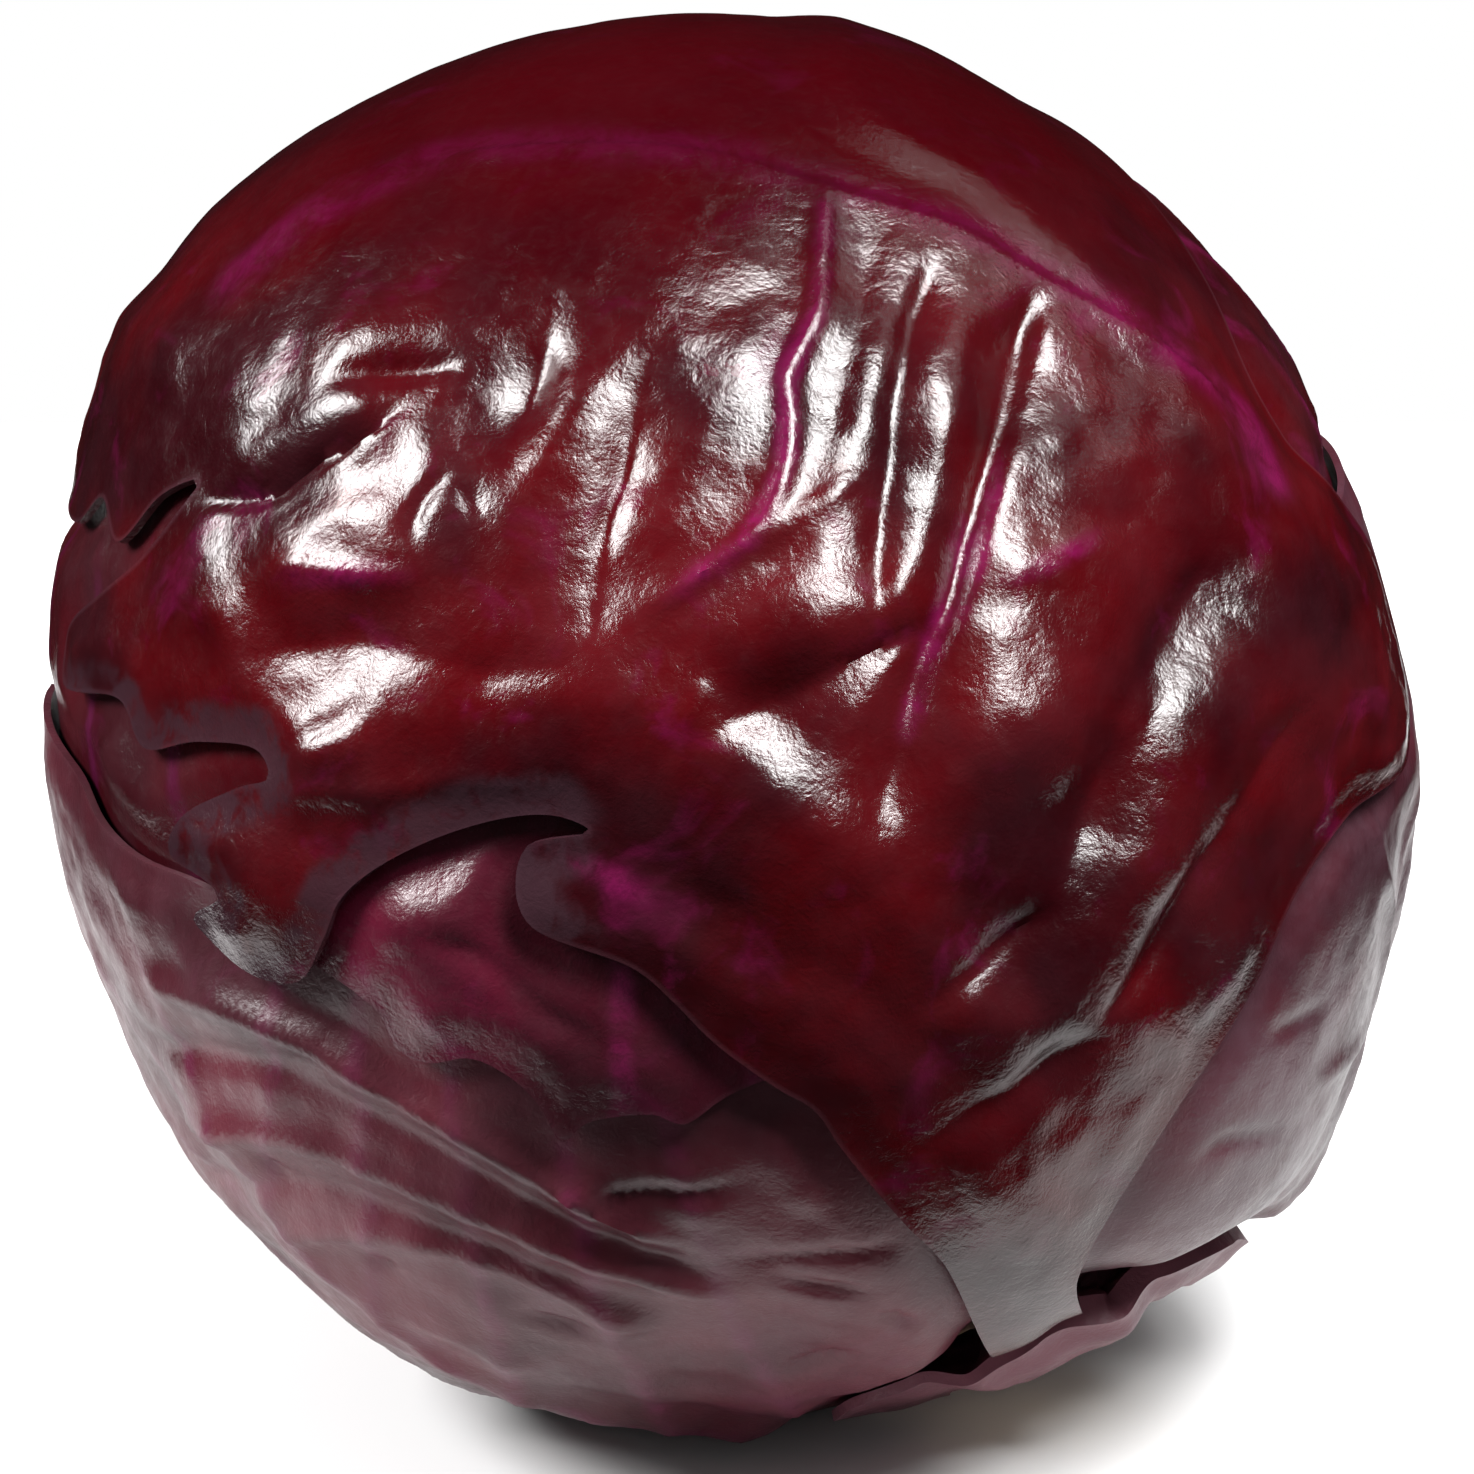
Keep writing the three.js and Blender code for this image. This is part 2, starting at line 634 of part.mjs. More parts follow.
const library = await Module();
library.setup();

function cut(geometry, tool) {
  const [whole, part] = [geometry, tool].map((shape) => new library.Manifold(new library.Mesh({
    numProp: 3,
    vertProperties: new Float32Array(shape.getAttribute('position').array),
    triVerts: new Uint32Array(shape.index.array),
  })));
  const mesh = whole.subtract(part).getMesh();
  const result = new THREE.BufferGeometry();
  result.setAttribute('position', new THREE.BufferAttribute(mesh.vertProperties, 3));
  result.setIndex(new THREE.BufferAttribute(mesh.triVerts, 1));
  result.computeVertexNormals();
  return result;
}

function piece(name, geometry, color, roughness) {
  const mesh = new THREE.Mesh(geometry, new THREE.MeshStandardMaterial({ color, roughness }));
  mesh.name = name;
  return mesh;
}

// The origin is on the ground, under the middle of the head's footprint
const cabbage = new THREE.Group();
cabbage.position.set(...CENTRE);
cabbage.add(piece('head', headGeometry(), 0x4c0a12, 0.35));
cabbage.add(piece('stem', stemGeometry(0), 0xb9a48c, 0.7));
LEAVES.forEach((leaf, level) => {
  cabbage.add(piece(leaf.name, leafGeometry(leaf, level), leaf.colour, 0.38));
});

export default cabbage;
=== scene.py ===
# A red cabbage head, dressed: each wrapper leaf is a thin, veined, waxy blade laid over the ones below it.
import math

import bpy
import numpy as np
from mathutils import Matrix


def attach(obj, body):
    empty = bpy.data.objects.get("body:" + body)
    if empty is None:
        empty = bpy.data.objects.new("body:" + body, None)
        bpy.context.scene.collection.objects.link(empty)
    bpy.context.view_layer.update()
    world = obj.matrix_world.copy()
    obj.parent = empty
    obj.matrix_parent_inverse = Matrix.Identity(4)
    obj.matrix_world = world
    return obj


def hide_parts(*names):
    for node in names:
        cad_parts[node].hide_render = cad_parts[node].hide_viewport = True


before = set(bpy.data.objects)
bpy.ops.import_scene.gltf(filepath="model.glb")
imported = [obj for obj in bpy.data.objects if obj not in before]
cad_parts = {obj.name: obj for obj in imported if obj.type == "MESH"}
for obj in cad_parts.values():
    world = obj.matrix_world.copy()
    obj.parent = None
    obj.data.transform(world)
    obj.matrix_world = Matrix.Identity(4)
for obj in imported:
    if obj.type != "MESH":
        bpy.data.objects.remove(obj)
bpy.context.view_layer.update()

# The head, in millimetres, as the frame has it
MM = 0.001
DEPTH_RADIUS = 69
LEAF_GAP = 0.32
STEM_GAP = 0.3
BLADE = 1.1
MARGIN_BLADE = 0.75
BASE_BLADE = 1.7
STEM_RADIUS = 11.5
STEM_ROOT_RADIUS = 8.5
STEM_ROOT = 48
STEM_END = 66.2
STEM_END_TILT = math.radians(12)
DIMPLE_DEPTH = 8
DIMPLE_LENGTH = 27
DIMPLE_WIDTH = 11
DIMPLE_FILL = 0.9
REST_HEIGHT = 68.9
CENTRE = np.array([0.347, 0.616, REST_HEIGHT])
CHART_RADIUS = 72
SHELF = 4
SLOPE = 8
SETTLE = 14
RIB_RISE = 3.2
RIB_WIDTH = 4.5
VEIN_RISE = 2
VEIN_WIDTH = 3.4
QUILT_WIDTH = 6.5
HEAD_SLACK = 1

# How a leaf's relief levels out where it would sink in
SINK_START = 0.5
SINK_BEND = 0.6
SINK_DROP = 0.65

# The head's outline as it is seen from the front: radii every 22.5 degrees, clockwise from the top
OUTLINE_RADII = np.array([
    71, 69.3, 67.3, 66, 67, 68.6, 72.3, 71.2, 68.6, 70.7, 68.8, 68.1, 69.2, 70.7, 73.1, 72.1,
])

# The front view: its height above the horizon and how far off the viewer stands
VIEW_TILT = math.radians(15)
VIEW_DISTANCE = 700
VIEW_WIDTH = 149.6
VIEW_DROP = 0.5
OUTLINE_TURN = math.radians(84)
RIGHT = np.array([1.0, 0.0, 0.0])
UPWARD = np.array([0.0, math.sin(VIEW_TILT), math.cos(VIEW_TILT)])
TOWARDS = np.array([0.0, -math.cos(VIEW_TILT), math.sin(VIEW_TILT)])
STEM_CLOCK = math.radians(151)

# How fine the pieces and their height maps are, in millimetres
MAP_STEP = 0.5
DEPTH_STEP = 1
RIB_REACH = 20
MAP_MARGIN = 22
SOLIDIFY_REACH = 10

# How often the search for a direction in the front view halves its range
FRONT_HALVINGS = 24

# The crumple's random lattice: its points on a side, and how far it is shifted
LATTICE = 97
LATTICE_SHIFT = 40

# Edges sharper than this look sharp
SHADING_ANGLE = math.radians(55)


def smooth(value, low, high):
    share = np.clip((value - low) / (high - low), 0, 1)
    return share * share * (3 - 2 * share)


def length(vectors):
    return np.sqrt((vectors * vectors).sum(-1))


def aim(clock, turn):
    """A direction from the head's centre: clockwise from the top, and away from the viewer."""
    clock, turn = np.asarray(clock, float)[..., None], np.asarray(turn, float)[..., None]
    flat = np.sin(clock) * RIGHT + np.cos(clock) * UPWARD
    return np.sin(turn) * flat + np.cos(turn) * TOWARDS


STEM_AXIS = aim(STEM_CLOCK, math.pi / 2)
STEM_EAST = np.cross(TOWARDS, STEM_AXIS)


def outline_radius(clock):
    count = len(OUTLINE_RADII)
    place = clock / (2 * math.pi) % 1 * count
    step = np.floor(place).astype(int)
    share = place - step
    before, start, end, after = (OUTLINE_RADII[(step + shift) % count] for shift in (-1, 0, 1, 2))
    bend = 2 * before - 5 * start + 4 * end - after
    twist = 3 * start - before - 3 * end + after
    return start + 0.5 * share * (end - before + share * (bend + share * twist))


def from_stem(dirs):
    return CHART_RADIUS * np.arccos(np.clip(dirs @ STEM_AXIS, -1, 1))


def dimple(dirs):
    """How far the head is pulled in around the stem."""
    along = CHART_RADIUS * (dirs @ TOWARDS) / DIMPLE_LENGTH
    aside = CHART_RADIUS * (dirs @ STEM_EAST) / DIMPLE_WIDTH
    return np.where(dirs @ STEM_AXIS > 0, DIMPLE_DEPTH * np.exp(-along * along - aside * aside), 0)


def whole_radius(dirs):
    """The whole head's radius."""
    x, z = dirs @ RIGHT, dirs @ UPWARD
    across = np.hypot(x, z) / outline_radius(np.arctan2(x, z))
    return 1 / np.hypot(across, dirs @ TOWARDS / DEPTH_RADIUS) - dimple(dirs)


def rest_plane(dirs, height):
    down = -dirs[..., 2]
    return np.where(down > 0.5, height / np.maximum(down, 0.5), np.inf)


def front(points):
    """Directions of points of the front view, x to the right and z up from the head's centre."""
    points = np.asarray(points, float)
    clock = np.arctan2(points[:, 0], points[:, 1])
    seen = length(points)
    near, far = np.zeros(len(points)), np.full(len(points), OUTLINE_TURN)
    for _ in range(FRONT_HALVINGS):
        middle = (near + far) / 2
        radius = whole_radius(aim(clock, middle))
        shown = radius * np.sin(middle) * VIEW_DISTANCE / (VIEW_DISTANCE - radius * np.cos(middle))
        near, far = np.where(shown < seen, middle, near), np.where(shown < seen, far, middle)
    return aim(clock, near)


def behind(points):
    """Directions of points past the front view's outline, as clock and turn in degrees."""
    clock, turn = np.radians(np.asarray(points, float)).T
    return aim(clock, turn)


def near_stem(points):
    """Directions of points round the stem, as a bearing in degrees and an arc from the stem."""
    bearing, arc = np.asarray(points, float).T
    heading, angle = np.radians(bearing)[:, None], (arc / CHART_RADIUS)[:, None]
    spread = np.cos(heading) * TOWARDS + np.sin(heading) * STEM_EAST
    return np.cos(angle) * STEM_AXIS + np.sin(angle) * spread


class Chart:
    """A flat chart of the head round one direction, with v pointing away from the stem."""

    def __init__(self, middle):
        self.out = middle / np.linalg.norm(middle)
        east = np.cross(self.out, STEM_AXIS)
        self.east = east / np.linalg.norm(east)
        self.north = np.cross(self.out, self.east)

    def flat(self, dirs):
        angle = np.arccos(np.clip(dirs @ self.out, -1, 1))
        across = np.stack([dirs @ self.east, dirs @ self.north], -1)
        scale = CHART_RADIUS * angle / np.maximum(1e-9, length(across))
        return across * scale[..., None]

    def dirs(self, flat):
        arc = length(flat)
        angle = arc / CHART_RADIUS
        scale = (np.sin(angle) / np.maximum(1e-9, arc))[..., None]
        spread = flat[..., :1] * self.east + flat[..., 1:] * self.north
        return np.cos(angle)[..., None] * self.out + spread * scale


def nearest_on(points, path):
    """How far points are from a path of straight stretches, where on it, and on which side."""
    best = np.full(len(points), np.inf)
    foot = np.zeros((len(points), 2))
    place, side = np.zeros(len(points)), np.zeros(len(points))
    run = 0
    for start, end in zip(path[:-1], path[1:]):
        stretch = end - start
        share = np.clip((points - start) @ stretch / max(1e-12, stretch @ stretch), 0, 1)
        spot = start + share[:, None] * stretch
        offset = points - spot
        away = length(offset)
        nearer = away < best
        best[nearer] = away[nearer]
        foot[nearer] = spot[nearer]
        place[nearer] = run + share[nearer] * np.linalg.norm(stretch)
        side[nearer] = np.sign(stretch[0] * offset[nearer, 1] - stretch[1] * offset[nearer, 0])
        run += np.linalg.norm(stretch)
    return best, foot, place, side, run


def depth_in(rim, points):
    """How far points lie inside a closed rim, negative outside it."""
    closed = np.vstack([rim, rim[:1]])
    nearest = nearest_on(points, closed)[0]
    within = np.zeros(len(points), bool)
    for start, end in zip(closed[:-1], closed[1:]):
        if start[1] == end[1]:
            continue
        crosses = (start[1] > points[:, 1]) != (end[1] > points[:, 1])
        reach = start[0] + (points[:, 1] - start[1]) / (end[1] - start[1]) * (end[0] - start[0])
        within ^= crosses & (points[:, 0] < reach)
    return np.where(within, nearest, -nearest)


def spaced(points, spacing, closed):
    """Points on a smooth line through the given ones, no further apart than the spacing."""
    count = len(points)
    result = []
    for i in range(count if closed else count - 1):
        start, end = points[i], points[(i + 1) % count]
        before = points[i - 1] if closed or i else 2 * start - end
        after = points[(i + 2) % count] if closed or i + 2 < count else 2 * end - start
        spans = [max(1e-4, np.linalg.norm(b - a)) ** 0.5
                 for a, b in ((before, start), (start, end), (end, after))]
        first, middle, last = spans
        leave = middle * ((start - before) / first - (end - before) / (first + middle)
                          + (end - start) / middle)
        reach = middle * ((end - start) / middle - (after - start) / (middle + last)
                          + (after - end) / last)
        for share in np.arange(pieces := max(1, round(np.linalg.norm(end - start) / spacing))) / pieces:
            square, cube = share ** 2, share ** 3
            result.append((2 * cube - 3 * square + 1) * start + (cube - 2 * square + share) * leave
                          + (3 * square - 2 * cube) * end + (cube - square) * reach)
    if not closed:
        result.append(points[-1])
    return np.array(result)


# The wrapper leaves, from the innermost to the outermost. Outlines are traced in the front view
# where they show there, and run on behind it or in to the stem where they don't. Lines are in
# millimetres in the front view: a rib is its rise, width and line, a mark its rise, width, side and
# line, a painted highlight its width and line, and a blister its x, z, half widths, turn in degrees
# and rise. A painted highlight is a pinkish glint painted into the leaf's colour along the light's
# arc over the top and along lit ridges.
LEAVES = [
    {
        "name": "leaf_left",
        "slot": "inner_leaf",
        "cell": 1.1,
        "outline": [
            near_stem([(290, 17), (308, 17), (325, 17)]),
            front([(12, -52), (-12, -40), (-36, -20), (-43, 2), (-50, 20), (-57, 33)]),
            behind([(300, 100), (294, 118), (278, 128), (258, 124), (243, 108), (236, 92)]),
            front([(-40, -52), (-20, -62), (2, -66)]),
        ],
        "base": (308, 15),
        "tip": behind([(286, 112)]),
        "pairs": 4,
        "quilt": 0.4,
        "curl": 0,
    },
    {
        "name": "leaf_back",
        "slot": "outer_leaf",
        "cell": 1.1,
        "outline": [
            near_stem([(150, 17), (182, 17), (212, 17)]),
            behind([(190, 120), (212, 122), (236, 114), (258, 106), (278, 100), (300, 96), (322, 96)]),
            behind([(343, 100), (2, 104), (14, 116), (20, 136), (50, 160), (150, 162), (152, 128)]),
        ],
        "base": (182, 16),
        "tip": behind([(352, 108)]),
        "pairs": 6,
        "quilt": 0.5,
        "curl": 0,
    },
    {
        "name": "leaf_right_back",
        "slot": "outer_leaf",
        "cell": 1.1,
        "outline": [
            near_stem([(92, 17), (117, 17), (142, 17)]),
            behind([(146, 128), (134, 148), (100, 160), (62, 156), (36, 148), (16, 132), (6, 112)]),
            front([(16, 62), (30, 53), (42, 40), (51, 25), (58, 6)]),
            behind([(94, 92), (112, 96)]),
        ],
        "base": (115, 16),
        "tip": behind([(18, 108)]),
        "pairs": 5,
        "quilt": 0.5,
        "curl": 0.3,
    },
    {
        "name": "leaf_lower_left",
        "slot": "pale_leaf",
        "cell": 0.9,
        "outline": [
            near_stem([(215, 16), (240, 15.5), (270, 15.5), (305, 15.5), (345, 16)]),
            front([(20, -48), (4, -33), (-16, -24), (-36, -23), (-50, -18)]),
            front([(-55.5, -15), (-60.5, -12.5), (-64, -9), (-66.5, -4)]),
            behind([(274, 94), (270, 110), (252, 124), (226, 132), (200, 134), (180, 128), (166, 116)]),
        ],
        "base": (275, 15),
        "tip": front([(-62, -16)]),
        "pairs": 5,
        "quilt": 0.7,
        "curl": 0.3,
        "bloom": 0.4,
        "ribbing": 0.55,
        "rough": 1.1,
        "marks": [
            (-1.26, 0.9, 0, [(-48.3, -42.3), (-44.4, -44.9)]),
            (-1.26, 1, 0, [(-37.9, -52.4), (-33.3, -53.9)]),
            (-1.44, 1, 0, [(-22.8, -57.9), (-12.8, -59.9)]),
            (-1.26, 0.8, 0, [(-17.3, -47.9), (-9.2, -46.3), (-2.4, -46.3), (1.1, -44.4)]),
            (-0.9, 0.7, 0, [(-1.7, -53.1), (4.7, -52.5), (20.2, -50.9)]),
            (-1.4, 0.6, 0, [(2.9, -54.4), (9.2, -55.4), (13.2, -56), (14.1, -56.8)]),
            (-1.4, 0.6, 0, [(12.8, -58.2), (15.4, -58.3), (17.9, -59.9)]),
            (-1.6, 0.8, 0, [(3.5, -63.4), (6.7, -63.3), (11.2, -62.3), (12.8, -62.8)]),
            (-1.2, 1.6, 0, [(-60, -30), (-46, -34.5), (-32, -41.5), (-18, -49), (-2, -54.5)]),
            (-1, 1.5, 0, [(-54, -43), (-42, -45.5), (-28, -51), (-12, -56)]),
            (1.5, 1.8, 0, [(-60, -24), (-48, -29), (-34, -37), (-20, -45), (-4, -52)]),
            (1.4, 1.7, 0, [(-56, -38), (-44, -41), (-30, -47), (-14, -53), (0, -57)]),
            (1.2, 1.7, 0, [(-46, -49), (-34, -50.5), (-20, -55), (-6, -60)]),
            (-1.08, 1.4, 0, [(-58, -30), (-50, -33), (-40, -33)]),
            (-1.08, 1.4, 0, [(-52, -22), (-44, -28), (-36, -32), (-30, -37)]),
        ],
    },
    {
        "name": "leaf_right",
        "slot": "bloomed_leaf",
        "cell": 0.9,
        "outline": [
            near_stem([(8, 16), (40, 15), (72, 13.5), (104, 14), (128, 17)]),
            behind([(146, 124), (132, 134), (104, 138), (82, 134), (66, 118), (62, 98)]),
            front([(58, 16), (52, 2), (44, -14), (36, -28), (29, -42)]),
        ],
        "base": (82, 16),
        "tip": behind([(86, 118)]),
        "pairs": 5,
        "quilt": 0.5,
        "curl": 0.3,
        "bloom": 0.55,
        "ribbing": 0.6,
        "marks": [
            (0.7, 1.3, 0, [(66, -4.5), (64, -7.5), (64.5, -13.5), (65.5, -18), (64, -27), (57, -36)]),
            (-0.9, 1, 0, [(44.5, -44.5), (48.3, -41.5), (55.5, -40)]),
            (-0.7, 1, 0, [(60, -27), (52, -31)]),
        ],
    },
    {
        "name": "leaf_under_lobe",
        "slot": "bloomed_leaf",
        "cell": 0.7,
        "outline": [
            near_stem([(346, 17), (357, 17)]),
            front([(24, -44), (16, -26), (0, -10), (-18, -1), (-36, -6), (-45, -14), (-45, -21)]),
            front([(-38, -26), (-35.5, -28), (-34, -31.5), (-31, -33), (-26.5, -32.5), (-22.5, -34.5)]),
            front([(-19.5, -37.5), (-17.5, -41), (-15, -39), (-8, -38), (-5.5, -39), (-1, -36.5)]),
            front([(5, -35), (14, -42), (22, -50)]),
        ],
        "base": (352, 17),
        "tip": front([(-36, -22)]),
        "pairs": 4,
        "quilt": 0.7,
        "curl": 0.4,
        "bloom": 0.12,
        "look": "under_leaf",
        "marks": [
            (0.8, 1.2, 0, [(-21, -17.5), (-14, -21), (-7, -26), (-1, -31)]),
            (-0.8, 1.2, 0, [(-33, -20), (-26, -22), (-19, -28), (-12, -32)]),
        ],
    },
    {
        "name": "leaf_front",
        "slot": "outer_leaf",
        "cell": 0.78,
        "outline": [
            near_stem([(4, 17), (342, 17)]),
            front([(20, -51.5), (16.5, -48), (12.5, -43.5), (10, -40.5), (7.5, -37), (4, -35)]),
            front([(-2.5, -30.5), (-6, -27), (-10, -23.5), (-20.5, -19), (-22, -15), (-21, -11.5)]),
            front([(-14.5, -10), (-17.5, -8.5), (-22.5, -8.5), (-32, -11.5), (-38.5, -16), (-40.5, -20.5)]),
            front([(-43, -24.5), (-49, -23), (-54, -18.5), (-50.5, -16), (-56, -12), (-55, -8.5)]),
            front([(-49.5, -5.5), (-46, -4.5), (-47.5, -2), (-54, -1), (-59.5, -1.5), (-61.5, 3)]),
            front([(-67, 5), (-67, 10), (-63.5, 14), (-59.5, 17.5), (-53.5, 25), (-57.5, 23.5)]),
            front([(-62, 19), (-63.5, 23.5), (-66, 21)]),
            behind([(291, 92), (294, 106), (308, 118), (326, 124), (346, 120), (6, 110), (20, 96)]),
            front([(34.5, 61), (42, 52.5), (47, 45), (52, 34), (57.5, 25.5), (64, 16.5)]),
            front([(66.5, 6), (66, -3), (61, -8.5), (56, -16), (52, -25), (43.5, -38.5)]),
            front([(37.5, -47.5), (33, -53)]),
        ],
        "ribs": [
            (0.5, 2.2, [(9, 55), (8, 41.5), (5, 34.5), (5, 26.5), (1, 19), (-3.5, 15.5), (-10.5, 10.5)]),
            (-0.8, 3.4, [(13, 52), (12, 40), (10, 32), (9, 23)]),
            (-1, 3, [(20, 48), (16.5, 36.5), (15.5, 28), (14, 17), (13, 8)]),
            (-1.9, 4, [(29.5, 44.5), (26.5, 31), (22.5, 17), (19, 8), (17, -0.5), (12, -12)]),
            (-1.6, 3, [(21.5, 12.5), (13, 7.5), (5.5, 3.5), (-6, -2)]),
            (0.7, 4, [(27.5, 32), (24, 18), (20.5, 6)]),
            (0.6, 3, [(23, 13.5), (32.5, 17.5), (38, 21)]),
            (-1.8, 3.4, [(48, 20), (42.5, 8), (36.5, -4.5), (31, -18)]),
            (-0.9, 3.4, [(-8, 40), (-10, 32.5), (-11, 26.5), (-13, 20.5), (-14, 12), (-13, 4)]),
            (-1.1, 3.4, [(-17, 46), (-19, 39.5), (-20.5, 34.5), (-22, 29.5), (-22.5, 22)]),
            (-0.9, 2.4, [(-41.5, 33), (-36, 35), (-28.5, 36), (-25.5, 33)]),
            (-1.2, 3, [(-56, 21.5), (-46.5, 23), (-38.5, 27.5), (-31, 32.5)]),
            (0.8, 2.6, [(-47.5, 14.5), (-36, 15.5), (-28, 15)]),
            (-1.1, 3.4, [(-50, 7), (-38, 9), (-26, 6), (-14, 6)]),
            (0.7, 3, [(-21, -11.5), (-13.5, -14), (-5.5, -19)]),
            (-1.2, 3, [(16.5, -41.5), (29, -34), (37.5, -29.5)]),
            (-1.1, 3, [(16.5, -28.5), (28, -20), (33.5, -16)]),
            (-1.2, 3, [(34.5, -29.5), (41, -22.5), (49, -8.5), (56, 4)]),
        ],
        # Painted highlight: pinkish glint lines along the light's arc over the top and along two lit
        # ridges.
        "painted_highlight": [
            (3.4, [(-49.5, 44.9), (-40.5, 51.9), (-30, 57), (-15, 58.2), (-3.1, 57.5), (8.8, 54.1),
                   (20.8, 50.3), (29.8, 45.2), (38.8, 39.2), (49.2, 31), (52.3, 25)]),
            (1, [(9, 55), (8, 41.5), (5, 34.5), (5, 26.5), (1, 19), (-3.5, 15.5)]),
            (1.2, [(23, 21), (20, 10), (17, 0)]),
        ],
        "marks": [
            (0.8, 3, -1, [(-30, 57), (-15, 58.2), (-3.1, 57.5), (8.8, 54.1), (20.8, 50.3),
                          (29.8, 45.2), (38.8, 39.2), (49.2, 31)]),
            (0.7, 0.7, 0, [(9, 55), (8.5, 48), (8, 41.5), (6, 37.5), (5, 34.5), (5.5, 31), (5, 26.5),
                           (3.5, 22), (1, 19), (-3.5, 15.5), (-10.5, 10.5)]),
            (-0.5, 0.9, 0, [(20, 48), (17.5, 41.5), (16.5, 36.5), (15.5, 32.5), (15.5, 28), (15, 24),
                            (14, 17), (14, 12), (13, 8)]),
            (0.5, 0.9, 0, [(15.5, 28), (11.5, 25), (9, 23), (5.5, 21), (2, 18.5), (-1.5, 15.5)]),
            (-0.9, 1.1, 0, [(29.5, 44.5), (28, 38.5), (26.5, 31), (24.5, 25), (22.5, 17), (21.5, 13),
                            (19, 8), (17.5, 4.5), (17, -0.5)]),
            (0.7, 4, 1, [(31, 43.5), (29, 36), (27.2, 29), (25, 21), (22.8, 14), (20, 6)]),
            (-0.6, 0.9, 0, [(21.5, 12.5), (17, 9.5), (13, 7.5), (9, 5.5), (5.5, 3.5)]),
            (0.9, 1.1, 0, [(42.5, 8), (39.5, 1.5), (36.5, -4.5)]),
            (-0.8, 1, 0, [(-10, 32.5), (-11, 26.5), (-13, 20.5), (-14, 14)]),
            (-1.1, 1.6, 0, [(-19, 39.5), (-20.5, 34.5), (-22, 29.5)]),
            (-0.7, 0.8, 0, [(-41.5, 33), (-39, 34.5), (-36, 35), (-31, 35.5), (-28.5, 36), (-26, 34.5)]),
            (1.2, 2.8, -1, [(-56, 21.5), (-51.5, 22.5), (-46.5, 23), (-44.5, 24.5), (-40.5, 26.5),
                            (-38.5, 27.5), (-36, 29), (-33, 31), (-31, 32.5)]),
            (-1, 0.7, 0, [(-56, 22), (-51.5, 23), (-46.5, 23.5), (-40.5, 27), (-36, 29.5), (-31, 33)]),
            (0.8, 1.2, -1, [(-47.5, 14.5), (-43.5, 16.5), (-36, 15.5), (-29.5, 15.5)]),
            (-0.8, 0.6, 0, [(-27.1, 27.6), (-28.4, 25.1), (-30.6, 22.3), (-31.5, 19.8), (-29.6, 17.1)]),
            (-0.6, 0.6, 0, [(-27.1, 24.8), (-25.6, 22), (-25.3, 19.8)]),
            (0.35, 0.4, 0, [(39.4, 19.7), (39.6, 11.5)]),
            (-0.3, 0.5, 0, [(-1.3, 52.9), (-2.9, 49.8)]),
            (0.5, 0.5, 0, [(-2.9, 5.9), (-5.3, -0.7)]),
            (-0.6, 1, 0, [(16.5, -41.5), (22.5, -38.5), (29, -34), (33, -31), (37.5, -29.5)]),
            (-0.5, 1, 0, [(16.5, -28.5), (21, -25.5), (28, -20), (33.5, -16)]),
            (-0.7, 1, 0, [(34.5, -29.5), (41, -22.5), (45.5, -13.5), (49, -8.5)]),
            (0.6, 1.2, 0, [(-48, -6), (-36, -6), (-26, -5), (-15, -6)]),
            (-0.7, 0.8, 0, [(-45, -1.5), (-39, 1), (-36, 4)]),
        ],
        "blisters": [
            (13.4, 34.5, 5, 8, 0, 1), (21, 33, 4, 8, 0, 0.8), (9, 9, 7, 6, 20, 1.4),
            (18, 12, 4, 6, 0, 0.8), (27, 0, 9, 8, 0, 2.2), (34, 14.5, 7, 6, 0, 0.9),
            (-17.5, 29, 4.5, 9, -20, 1), (-33, 38, 8, 6, 0, 1.4), (-41, 28.5, 10, 4.5, 20, 1.2),
            (-38, 18.5, 10, 5, 0, 1.3), (-31, 7.5, 6, 4, 0, 0.9), (-43.5, -1.5, 5, 3.5, 0, 1),
            (-29, 25, 3, 6, 20, 0.7), (-47, 34, 5, 5, 0, 0.8),
            (1, 35, 3, 7, -15, 0.4), (50, -4, 6, 10, -20, 0.7),
            (24, -27, 5, 6, 30, 0.5), (40, -14, 4, 8, -25, 0.6), (44, 2, 4, 7, -25, 0.5),
        ],
        "quilt": 0.7,
        "body": 1.5,
        "rough": 1,
        "curl": 0.5,
        "bloom": 0.06,
        "grey": 5.5,
    },
    {
        "name": "leaf_base",
        "slot": "leaf_base",
        "cell": 0.6,
        "thick": 1.4,
        "outline": [
            near_stem([(262, 15), (290, 14.5), (320, 14), (350, 14), (20, 14), (55, 14), (92, 15)]),
            near_stem([(82, 20), (60, 22), (40, 23), (15, 22), (350, 23.5), (335, 26)]),
            near_stem([(312, 29), (290, 28), (268, 22)]),
        ],
        "quilt": 0,
        "curl": 0,
    },
]


def fan(leaf):
    """A midrib from the stem to the tip, with curved side veins left and right in turn."""
    start = leaf["chart"].flat(near_stem([leaf["base"]]))[0]
    end = leaf["chart"].flat(leaf["tip"])[0]
    reach = np.linalg.norm(end - start)
    along = (end - start) / reach
    aside = np.array([-along[1], along[0]])
    share = leaf.get("ribbing", 0.8)
    ribs = [(RIB_RISE * share, RIB_WIDTH, np.array([start, end]))]
    count = 2 * leaf["pairs"]
    for i in range(count):
        hand = 1 if i % 2 else -1
        root = start + (end - start) * (0.12 + 0.72 * i / count)
        span = reach * (0.62 - 0.36 * i / count)
        shares = np.array([0, 0.33, 0.67, 1])[:, None]
        bend = 0.45 * shares + 0.4 * shares ** 2
        line = root + along * span * bend + aside * hand * span * 0.85 * shares
        ribs.append((VEIN_RISE * share, VEIN_WIDTH, line))
    return ribs


